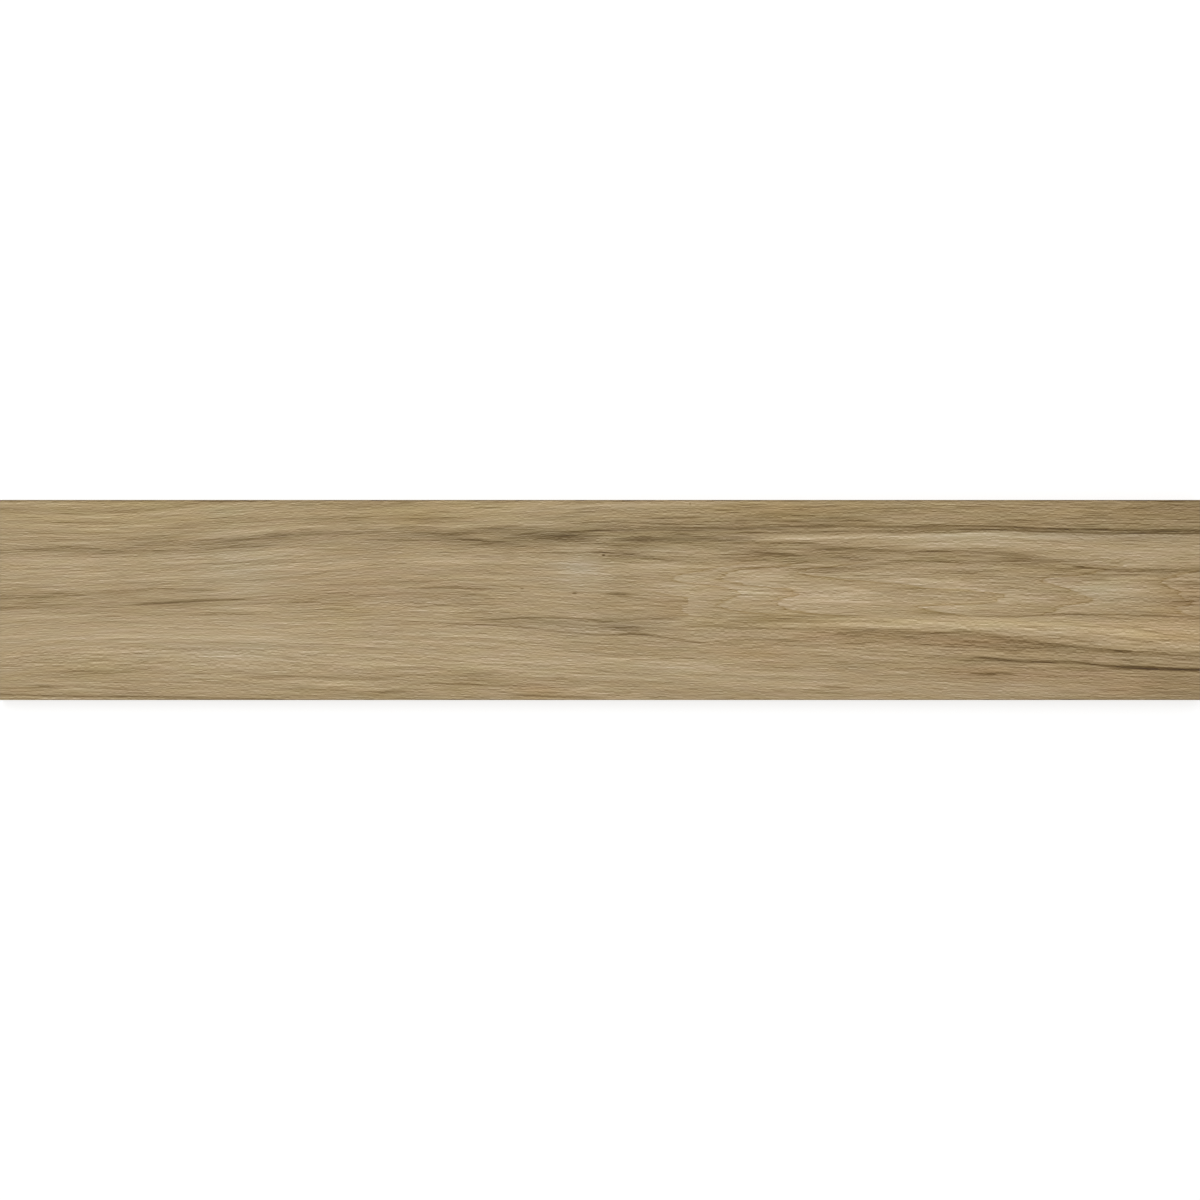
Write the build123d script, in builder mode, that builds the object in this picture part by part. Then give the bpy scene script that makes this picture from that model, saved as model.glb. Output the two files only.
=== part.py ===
"""Solid wood floor plank: square edges, a fine bevel round the face, relief grooves along the back.

The plank lies face up. X runs along the grain, Y across the width and Z up, in millimetres.
The origin is the centre of the back, on the surface that the plank is laid on.
"""

import os

from build123d import *

# Planed size of the plank
plank_length = 1200.0
plank_width = 200.0
plank_thickness = 20.0

# Fine bevel round the four edges of the face
bevel_across_face = 1.0
bevel_down_edge = 1.0

# Relief grooves, ploughed into the back from end to end, which keep a wide plank from cupping
groove_pitch = 28.0
groove_mouth = 10.0
groove_depth = 4.0
groove_side_angle = 70.0
groove_corner_radius = 1.2

# Flat left between the outermost grooves and the plank's edges, at the least
edge_land = 18.0
grooved_width = plank_width - 2 * edge_land - groove_mouth
groove_count = int(grooved_width // groove_pitch) + 1


# The moulded section, drawn across the grain and run along the whole length
with BuildPart() as floor_plank:
    with BuildSketch(Plane.YZ) as section:
        Rectangle(plank_width, plank_thickness, align=(Align.CENTER, Align.MIN))
        with GridLocations(groove_pitch, 0, groove_count, 1):
            Trapezoid(
                groove_mouth,
                groove_depth,
                groove_side_angle,
                align=(Align.CENTER, Align.MIN),
                mode=Mode.SUBTRACT,
            )
        groove_corners = section.vertices().filter_by_position(Axis.Y, groove_depth, groove_depth)
        fillet(groove_corners, radius=groove_corner_radius)
    extrude(amount=plank_length / 2, both=True)

    face = floor_plank.faces().sort_by(Axis.Z)[-1]
    chamfer(face.edges(), length=bevel_across_face, length2=bevel_down_edge, reference=face)

floor_plank.part.label = "floor_plank"

os.makedirs("parts", exist_ok=True)
export_step(floor_plank.part, "parts/floor_plank.step")
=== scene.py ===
"""Looks of the wooden floor plank: a grained and oiled face, planed edges, sawn ends and a grooved back.

Metres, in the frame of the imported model: X runs along the grain, Y across it and Z up to the face.
The figure of the wood is set out in millimetres on the face, along from the left end and across from
the rear edge.
"""

import math

import bpy
import numpy as np
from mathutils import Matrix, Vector


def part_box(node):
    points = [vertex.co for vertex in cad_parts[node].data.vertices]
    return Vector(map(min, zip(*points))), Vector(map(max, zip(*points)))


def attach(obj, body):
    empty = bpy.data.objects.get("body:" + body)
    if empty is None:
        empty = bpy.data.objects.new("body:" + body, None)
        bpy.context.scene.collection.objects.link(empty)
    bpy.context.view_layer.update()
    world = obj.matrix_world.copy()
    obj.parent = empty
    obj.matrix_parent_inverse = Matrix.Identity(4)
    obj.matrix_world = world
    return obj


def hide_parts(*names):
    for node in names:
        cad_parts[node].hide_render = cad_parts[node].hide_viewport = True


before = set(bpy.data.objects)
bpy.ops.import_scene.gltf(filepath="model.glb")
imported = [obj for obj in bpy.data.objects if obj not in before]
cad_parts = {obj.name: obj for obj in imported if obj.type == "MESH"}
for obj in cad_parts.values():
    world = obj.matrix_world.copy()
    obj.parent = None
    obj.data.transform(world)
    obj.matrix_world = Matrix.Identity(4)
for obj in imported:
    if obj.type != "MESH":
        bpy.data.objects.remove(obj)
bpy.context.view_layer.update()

# The plank as packed
plank_low, plank_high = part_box("floor_plank")
mm = 0.001

# The moulded section: the bevel round the face and the relief grooves along the back
bevel = 1.0 * mm
groove_count = 6
groove_spacing = 28.0 * mm
groove_mouth = 10.0 * mm
groove_depth = 4.0 * mm
groove_side_angle = math.radians(70)
groove_corner_radius = 1.2 * mm
groove_corner_steps = 4

# How finely the face is meshed along and across the grain, how many rows the edges have, and the angle from
# which an edge of the mesh stays sharp
mesh_step_along = 7.0 * mm
mesh_step_across = 0.46 * mm
edge_rows = 4
sharp_angle = math.radians(30)

# Relief of the brushed face, always cut down from the planed surface: fibres that stand up, pores and checks.
# Lengths and widths are millimetres on the face.
fibre_relief = 0.02 * mm
ridge_length = 22.0
ridge_width = 1.1
pore_relief = 0.05 * mm
pore_length = 16.0
pore_width = 0.75
pore_start = 0.68
pore_fade = 0.2
check_relief = 0.7 * mm
# The painted shade of a check, in levels, at which the check is cut to its full depth
full_check_shade_tone = -40.0

# Tone runs from 0, black, to 255, white, as seen on a screen
tone_levels = 255
face_tone = 144.4 / tone_levels
edge_tone = face_tone - 8 / tone_levels
end_tone = face_tone - 24 / tone_levels
back_tone = face_tone + 6 / tone_levels
bevel_tone = -20 / tone_levels

# Guide lines of the grain, from the rear edge to the front edge: the place across that each line has at rest,
# and the (along, across) points that it passes on the face
grain_guides = [
    (-40, [(0, -14), (100, -14), (200, -22), (300, -29), (400, -32), (500, -36), (600, -41), (1200, -41)]),
    (-14, [(0, 10), (100, 10), (200, 2.5), (300, -4.5), (400, -7.6), (500, -11.5), (600, -16.8),
           (800, -17.7), (1000, -19), (1200, -16)]),
    (10, [(0, 28), (100, 29), (200, 24.5), (300, 18), (400, 15), (500, 11.8), (600, 7.5), (700, 7.3),
          (800, 6.2), (1000, 4.7), (1100, 7.2), (1200, 7.6)]),
    (38, [(0, 52), (100, 52.5), (200, 49.2), (300, 41.7), (400, 37.4), (500, 36.4), (600, 36), (800, 36.8),
          (1000, 36.3), (1100, 39.8), (1200, 39.8)]),
    (64, [(0, 76), (100, 74.5), (200, 71.3), (300, 65.5), (400, 60.6), (500, 60.5), (600, 63), (700, 65.8),
          (800, 64.3), (900, 63), (1000, 63.6), (1100, 66.4), (1200, 66.7)]),
    (97, [(0, 104), (100, 101), (200, 98), (300, 93.5), (400, 89.8), (500, 91), (600, 94), (700, 97.6),
          (800, 100.2), (900, 101.3), (1000, 104), (1100, 106), (1200, 106.5)]),
    (118, [(0, 120), (100, 115.5), (200, 114), (300, 112.8), (400, 110.6), (500, 112.5), (600, 116),
           (700, 118), (800, 119.5), (900, 120), (1000, 123.5), (1100, 127), (1200, 132)]),
    (143, [(0, 138), (100, 133.3), (200, 133), (300, 135), (400, 134.5), (500, 138), (600, 143.5),
           (700, 148), (800, 150), (900, 152.6), (1000, 156.3), (1100, 161.5), (1200, 167)]),
    (162, [(0, 152), (100, 147), (200, 146.5), (300, 150), (400, 152.5), (500, 157), (600, 162),
           (700, 166.5), (800, 169.5), (900, 173), (1000, 177), (1100, 182), (1200, 186)]),
    (180, [(0, 172), (100, 170), (200, 169.3), (300, 172.3), (400, 174), (500, 176.5), (600, 179.5),
           (700, 182.6), (800, 185.7), (900, 189.3), (1000, 193.9), (1100, 198.8), (1200, 202)]),
    (202, [(0, 190), (200, 192), (400, 196), (600, 201), (800, 206), (1000, 214), (1200, 222)]),
    (240, [(0, 225), (400, 231), (800, 243), (1200, 262)]),
]

# Streaks of the figure, in order from the left end: half width in millimetres, tone in levels at the middle,
# and the (along, across) points that the streak passes. Those that run off an end start or stop beyond it.
# First the soft shades, darker or paler than the wood round them.
soft_shades = [
    (12.0, -7, [(-80, 64), (0, 64), (40, 64)]),
    (9.0, 8, [(-80, 66), (60, 65), (130, 62), (250, 67), (340, 64), (400, 62)]),
    (5.0, -8, [(-80, 94), (40, 94), (80, 93)]),
    (9.0, -5, [(-80, 138), (40, 138), (120, 138)]),
    (18.0, 8, [(-80, 140), (100, 140), (250, 140), (400, 145), (520, 150), (640, 163), (760, 172),
               (860, 176)]),
    (1.2, -36, [(-60, 0.3), (1260, 0.3)]),
    (3.0, 6, [(-60, 91), (30, 92.5), (90, 93)]),
    (4.0, -2, [(-60, 97), (60, 95), (120, 92)]),
    (3.5, -2, [(-60, 124), (60, 123), (120, 121), (180, 123)]),
    (2.5, -8, [(-60, 178), (0, 178), (40, 178)]),
    (3.0, -8, [(-40, 110), (0, 109), (30, 107)]),
    (2.0, -8, [(10, 188.5), (30, 188.5), (60, 188)]),
    (2.5, 8, [(35, 104.5), (60, 104), (85, 104)]),
    (3.0, 6, [(40, 75.5), (80, 75), (130, 74)]),
    (3.0, -8, [(50, 60.5), (120, 60), (190, 57.5)]),
    (4.5, -8, [(60, 45), (130, 42), (180, 39), (220, 40)]),
    (3.0, -7, [(70, 110), (98, 109), (130, 108)]),
    (4.5, -8, [(75, 100), (110, 99), (150, 99)]),
    (6.0, -8, [(80, 92), (130, 97), (180, 103), (240, 101)]),
    (2.0, 7, [(85, 31.5), (120, 30.5), (155, 29)]),
    (2.5, 7, [(95, 5), (135, 4), (185, 2)]),
    (3.0, -8, [(95, 190), (140, 189), (185, 190)]),
    (5.0, -7, [(100, 47), (170, 38), (240, 34)]),
    (3.0, -14, [(110, 46.3), (155, 45), (200, 43.8)]),
    (5.0, 6, [(120, 158), (175, 160), (240, 161)]),
    (2.5, 8, [(145, 173.5), (175, 173), (215, 172)]),
    (2.5, -8, [(150, 27), (180, 25), (210, 23)]),
    (2.0, -8, [(155, 38), (180, 37.5), (205, 36.5)]),
    (2.0, 7, [(160, 153), (290, 151.5), (410, 152)]),
    (2.0, -10, [(165, 44.5), (195, 43.8), (222, 43.2)]),
    (3.0, 7, [(170, 122), (280, 123), (345, 122)]),
    (3.5, 6, [(180, 66), (240, 64), (330, 61)]),
    (2.5, 9, [(180, 78), (260, 75), (300, 75), (340, 73)]),
    (2.0, -8, [(180, 125), (225, 124.5), (270, 124.5)]),
    (2.5, -10, [(185, 3), (230, 2), (300, 1)]),
    (3.0, 9, [(185, 165), (225, 164), (275, 163)]),
    (2.5, 6, [(222, 42.5), (245, 41.5), (275, 38)]),
    (2.5, 8, [(235, 183), (320, 182), (400, 184)]),
    (2.5, -9, [(250, 33), (290, 31), (330, 29)]),
    (4.0, 6, [(260, 160), (310, 160), (370, 162)]),
    (2.5, 8, [(280, 46), (340, 42), (400, 42)]),
    (2.0, -5, [(280, 109), (340, 108), (410, 106)]),
    (2.5, -12, [(285, 25), (342, 24.6), (400, 23)]),
    (3.0, -8, [(285, 55), (340, 53), (430, 48)]),
    (4.0, -8, [(295, 192), (380, 193), (470, 190)]),
    (5.0, 6, [(330, 103), (380, 105), (440, 108)]),
    (3.0, -10, [(350, 39), (390, 38), (430, 37.5)]),
    (8.0, -13, [(370, 29), (480, 31), (560, 31), (640, 32), (760, 25), (840, 26)]),
    (4.0, 8, [(375, 62), (440, 62), (505, 60)]),
    (2.5, -9, [(380, 29), (415, 28.5), (450, 29)]),
    (3.0, 5, [(380, 68), (440, 67), (510, 67)]),
    (2.5, -9, [(385, 146), (440, 145.5), (500, 146)]),
    (3.0, 5, [(390, 134), (480, 134), (570, 137)]),
    (2.5, 14, [(405, 26.5), (445, 26.5), (495, 25)]),
    (6.0, -14, [(420, 46), (470, 44), (520, 43), (600, 44), (650, 43), (740, 43), (820, 43)]),
    (2.0, -8, [(420, 88), (465, 88), (515, 89.5)]),
    (3.0, -9, [(425, 186.5), (455, 188), (500, 189)]),
    (3.0, -7, [(435, 37), (465, 34), (505, 33)]),
    (2.0, 7, [(440, 77), (490, 77), (540, 78)]),
    (4.0, -6, [(445, 118), (500, 118), (555, 118)]),
    (4.0, -10, [(470, 192), (520, 194), (580, 196)]),
    (1.8, -7, [(480, 51), (515, 50), (545, 49)]),
    (35.0, 1.5, [(480, 110), (800, 112), (1150, 112)]),
    (3.0, 8, [(485, 21), (530, 22), (575, 26)]),
    (5.0, 6, [(490, 138), (560, 140), (640, 144)]),
    (2.0, -7, [(505, 92.5), (545, 93), (590, 92)]),
    (3.0, 7, [(520, 12), (570, 10.5), (605, 9)]),
    (5.0, 6, [(520, 102), (560, 103), (600, 102)]),
    (7.0, 6, [(530, 53), (590, 50), (630, 53)]),
    (3.0, -5, [(540, 92), (600, 94), (660, 97), (710, 98)]),
    (2.0, 9, [(550, 113.5), (590, 116), (625, 118)]),
    (2.0, 7, [(550, 187), (590, 187), (630, 188)]),
    (2.0, 7, [(555, 20), (580, 20.5), (605, 21)]),
    (2.0, 6, [(555, 182.5), (595, 184), (645, 186.5)]),
    (9.0, -5, [(560, 120), (640, 114), (700, 118)]),
    (2.5, 6, [(565, 139), (600, 141.5), (640, 145)]),
    (5.0, -9, [(570, 56), (610, 58), (650, 60)]),
    (5.0, -8, [(570, 92), (620, 95), (670, 100)]),
    (2.5, 8, [(575, 47), (597, 47.5), (620, 48.5)]),
    (5.0, -4, [(585, 128), (625, 128), (665, 130)]),
    (4.0, -6, [(590, 17), (650, 16), (700, 17)]),
    (3.0, -10, [(590, 42), (650, 41), (730, 41)]),
    (4.0, -9, [(590, 52), (620, 54), (655, 57)]),
    (2.0, -15, [(595, 134.5), (640, 135), (680, 138)]),
    (2.5, -7, [(605, 47), (627, 47), (650, 46)]),
    (2.0, -10, [(605, 113), (632, 113), (655, 113)]),
    (2.5, -9, [(610, 44.5), (632, 44), (655, 43)]),
    (3.0, 8, [(610, 105), (645, 105), (680, 105)]),
    (4.0, 6, [(620, 66), (660, 66), (720, 67)]),
    (4.0, -7, [(625, 100), (660, 100), (695, 101)]),
    (2.0, -7, [(625, 116), (665, 116), (705, 117)]),
    (9.0, 5, [(630, 86), (690, 86), (750, 88)]),
    (2.0, -8, [(635, 55), (670, 56), (710, 56)]),
    (2.0, 6, [(640, 48), (675, 47.5), (710, 46)]),
    (2.5, 8, [(640, 84), (675, 84), (715, 86)]),
    (2.0, -12, [(640, 195.5), (690, 196), (735, 197)]),
    (2.0, -7, [(645, 66), (700, 64), (785, 58)]),
    (9.0, 9, [(650, 86), (720, 84), (820, 86)]),
    (2.5, 7, [(650, 121), (685, 123.5), (725, 123)]),
    (4.0, 6, [(665, 141), (700, 143), (740, 147)]),
    (4.0, 6, [(670, 136), (710, 137), (760, 139)]),
    (5.0, -10, [(680, 14), (740, 12), (800, 12)]),
    (4.0, 8, [(690, 92), (745, 93), (810, 94)]),
    (2.0, -9, [(690, 197), (740, 197), (800, 198.5)]),
    (1.8, 6, [(700, 43.5), (745, 44.5), (790, 47)]),
    (2.5, -8, [(715, 24), (740, 23), (765, 23)]),
    (3.0, -7, [(715, 65), (750, 65.5), (785, 65)]),
    (2.0, -6, [(715, 121.5), (745, 121.5), (785, 122)]),
    (2.0, -9, [(730, 57), (752, 56), (780, 56)]),
    (2.0, 12, [(735, 39), (780, 38.5), (830, 38)]),
    (5.0, 9, [(735, 101), (790, 104), (840, 104)]),
    (4.0, 6, [(745, 114), (780, 115), (815, 115)]),
    (2.0, -8, [(755, 142), (795, 141.5), (835, 141.5)]),
    (20.0, -1.5, [(760, 22), (900, 20), (1260, 20)]),
    (3.0, -10, [(760, 69), (810, 70), (860, 71)]),
    (2.5, -7, [(765, 96.5), (815, 99.5), (865, 101)]),
    (3.0, 5, [(770, 20), (800, 20), (830, 20)]),
    (3.0, -12, [(780, 22), (850, 22), (890, 21)]),
    (2.5, -9, [(780, 29), (815, 28.5), (850, 27)]),
    (2.0, -10, [(780, 33.5), (840, 33), (890, 32)]),
    (6.0, 8, [(780, 104), (880, 104), (960, 104), (1000, 103)]),
    (7.0, 8, [(780, 126), (900, 128), (1000, 127), (1040, 128)]),
    (4.0, -8, [(780, 136), (850, 136), (900, 137)]),
    (3.0, -20, [(782, 48.3), (822, 48.5), (862, 48.5)]),
    (3.0, -10, [(785, 71.5), (815, 71), (850, 72)]),
    (3.0, -15, [(790, 46), (825, 47), (860, 47), (940, 47)]),
    (2.0, -12, [(795, 25.5), (850, 25.5), (885, 26)]),
    (4.0, 6, [(800, 149), (850, 148), (900, 153)]),
    (5.0, -9, [(800, 160), (850, 165), (890, 165)]),
    (3.0, -8, [(810, 21), (855, 21), (900, 21)]),
    (2.5, -7, [(830, 26), (852, 26), (878, 26)]),
    (2.0, -9, [(830, 26), (855, 26), (880, 26)]),
    (3.0, -9, [(830, 67), (880, 65), (970, 64)]),
    (1.8, -7, [(830, 74.5), (855, 74), (880, 73)]),
    (2.5, -9, [(830, 117), (880, 117), (940, 116.5), (990, 117)]),
    (2.0, -8, [(840, 66), (875, 65), (910, 64)]),
    (1.8, 6, [(845, 41), (900, 41), (960, 40)]),
    (2.5, -6, [(845, 163), (880, 163.5), (915, 163)]),
    (3.0, -14, [(850, 32), (910, 30), (960, 30)]),
    (4.0, -5, [(850, 52), (930, 53), (1000, 54), (1040, 58), (1100, 63)]),
    (3.0, -9, [(855, 163), (895, 163), (940, 163)]),
    (5.0, 11, [(860, 80), (920, 81), (960, 86), (1010, 90)]),
    (2.0, -12, [(860, 96), (890, 96), (920, 96)]),
    (3.0, -7, [(860, 135), (890, 136), (930, 137)]),
    (3.0, -5, [(880, 121), (930, 121), (1000, 123)]),
    (3.0, -8, [(890, 30), (925, 30), (965, 30)]),
    (2.8, -22, [(900, 27), (1000, 28), (1060, 30), (1150, 31.3), (1260, 32)]),
    (9.0, -7, [(900, 160), (950, 163), (1010, 166), (1070, 168)]),
    (2.0, -10, [(905, 157), (940, 157), (985, 159)]),
    (2.0, -9, [(905, 172.5), (937, 172.5), (970, 173)]),
    (1.8, -7, [(915, 108), (945, 107), (980, 107)]),
    (2.5, -7, [(920, 139), (955, 139), (1000, 138)]),
    (5.0, -6, [(920, 155), (1020, 157), (1110, 161)]),
    (2.0, 7, [(920, 196), (960, 196.5), (1000, 197.5)]),
    (5.0, 6, [(925, 107), (960, 108), (995, 107)]),
    (4.0, 9, [(930, 88), (970, 91), (1015, 92)]),
    (1.8, 6, [(930, 130.5), (965, 131), (1000, 131.5)]),
    (7.0, -10, [(930, 173), (1010, 175), (1100, 180), (1260, 180)]),
    (2.5, 7, [(935, 147), (975, 148.5), (1015, 148)]),
    (2.5, -10, [(940, 22.5), (985, 22.3), (1030, 24), (1080, 26)]),
    (3.0, -8, [(940, 73), (975, 74), (1010, 74)]),
    (5.0, -8, [(940, 143), (1000, 144), (1060, 147)]),
    (2.0, 10, [(945, 61), (980, 61), (1010, 60)]),
    (3.0, -10, [(950, 158.5), (995, 161), (1030, 162)]),
    (2.0, -6, [(955, 125.5), (990, 126.5), (1020, 127.5)]),
    (3.0, 8, [(965, 166), (1015, 166.5), (1065, 168)]),
    (6.0, -11, [(975, 141), (1040, 145), (1090, 149), (1140, 152)]),
    (2.0, 14, [(985, 28.5), (1010, 29), (1035, 31)]),
    (2.5, -9, [(985, 67), (1022, 66.5), (1060, 65)]),
    (4.0, -9, [(1000, 66), (1030, 64), (1060, 60), (1095, 57)]),
    (6.0, -7, [(1000, 164), (1100, 168), (1260, 172)]),
    (5.0, -9, [(1010, 189), (1110, 193), (1260, 196)]),
    (2.0, 5, [(1015, 143), (1045, 145), (1075, 146.5)]),
    (2.0, -6, [(1030, 26), (1070, 25.5), (1110, 26.5)]),
    (3.0, -6, [(1030, 76), (1070, 75), (1110, 74)]),
    (2.0, -6, [(1030, 83.5), (1065, 85), (1100, 87)]),
    (2.0, -9, [(1030, 168), (1052, 169), (1080, 169.5)]),
    (2.5, -6, [(1045, 60.5), (1080, 60), (1110, 61)]),
    (5.0, -9, [(1050, 19), (1085, 20), (1120, 20)]),
    (8.0, 6, [(1050, 56), (1110, 58), (1190, 58)]),
    (2.0, -6, [(1055, 129), (1095, 132), (1140, 134)]),
    (12.0, -4, [(1060, 178), (1150, 184), (1260, 186)]),
    (3.0, -7, [(1060, 183), (1100, 181), (1130, 180)]),
    (3.0, -17, [(1070, 25.5), (1120, 26), (1170, 27), (1260, 27.5)]),
    (3.0, 7, [(1070, 123), (1150, 124), (1230, 125)]),
    (3.0, -8, [(1075, 77), (1098, 75), (1130, 70)]),
    (2.0, -10, [(1075, 149), (1110, 150.5), (1150, 153)]),
    (2.5, 6, [(1075, 153), (1105, 155.5), (1135, 160)]),
    (2.0, 7, [(1085, 38), (1120, 37.5), (1165, 37.5)]),
    (2.5, -10, [(1085, 61.5), (1127, 62.5), (1165, 62)]),
    (3.0, 12, [(1085, 79), (1120, 79), (1150, 80)]),
    (3.0, 8, [(1085, 139), (1115, 140), (1150, 143)]),
    (2.5, -8, [(1090, 41), (1130, 40.5), (1180, 40)]),
    (4.0, 8, [(1100, 57), (1140, 57), (1190, 58)]),
    (3.5, -10, [(1100, 181), (1160, 183), (1215, 187)]),
    (3.0, -8, [(1110, 135), (1160, 136), (1260, 138)]),
    (5.0, -10, [(1110, 195), (1160, 195), (1260, 192)]),
    (4.0, -12, [(1120, 1.5), (1160, 1.5), (1260, 1.5)]),
    (4.0, -6, [(1120, 189), (1175, 194), (1215, 195)]),
    (1.8, 7, [(1125, 31), (1160, 31), (1190, 31.5)]),
    (2.0, 9, [(1135, 175), (1160, 175), (1185, 175)]),
    (2.5, -8, [(1140, 5), (1175, 5), (1260, 5)]),
    (2.5, -10, [(1140, 18.5), (1175, 18.5), (1260, 18.5)]),
    (4.0, -14, [(1140, 104), (1180, 101), (1260, 98)]),
    (4.0, -8, [(1145, 88), (1178, 91), (1230, 92)]),
    (5.0, -6, [(1150, 114), (1185, 114), (1260, 114)]),
    (3.0, 8, [(1150, 148), (1185, 148), (1260, 150)]),
    (3.0, -8, [(1155, 85), (1182, 88), (1215, 91)]),
    (2.5, -8, [(1155, 168), (1180, 168), (1215, 167)]),
    (3.0, -9, [(1160, 144), (1195, 143), (1260, 142)]),
    (2.5, -10, [(1170, 76), (1195, 75), (1260, 74.5)]),
]

# Grey streaks that minerals left
mineral_streaks = [
    (4.4, -11, [(-60, 52), (0, 51.5), (60, 50), (110, 51.7), (150, 51), (190, 48.5)]),
    (1.6, -5, [(20, 49.5), (60, 48.5), (95, 49.5), (130, 51.5)]),
    (2.8, -12, [(150, 45.5), (200, 42), (250, 38), (300, 34), (350, 32), (430, 31)]),
    (1.8, -9, [(150, 50), (220, 48), (270, 46), (320, 43), (360, 41), (430, 39.5)]),
    (5.0, -9, [(180, 47), (240, 43), (300, 39), (360, 37), (470, 36)]),
    (3.5, -20, [(400, 35), (450, 35.5), (490, 36.5)]),
    (2.0, -11, [(410, 40), (450, 40), (480, 41.5), (505, 43.5), (530, 46), (560, 49)]),
    (1.6, -9, [(440, 33), (480, 30), (510, 27.5), (550, 28)]),
    (4.5, -26, [(485, 36), (530, 36), (560, 36), (590, 36.5), (630, 38)]),
    (6.0, -5, [(490, 123), (550, 124), (610, 126)]),
    (2.2, -21, [(535, 36.5), (563, 36), (590, 36.5)]),
    (1.6, -8, [(545, 49), (595, 52), (640, 56.5), (662, 60), (690, 61.5), (725, 62)]),
    (1.3, -18, [(560, 33), (590, 30.5), (615, 30), (660, 30), (760, 28.5), (840, 27)]),
    (6.0, -5, [(575, 128), (620, 128), (655, 130), (685, 132)]),
    (1.1, -12, [(580, 31), (600, 30), (620, 30)]),
    (2.4, -25, [(600, 40), (640, 40), (685, 40)]),
    (2.5, -13, [(600, 50), (630, 54), (660, 58), (685, 60)]),
    (3.5, -4, [(600, 129.5), (632, 130.5), (662, 132.5)]),
    (2.6, -19, [(650, 40), (700, 39.5), (740, 38.5), (780, 39)]),
]

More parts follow.
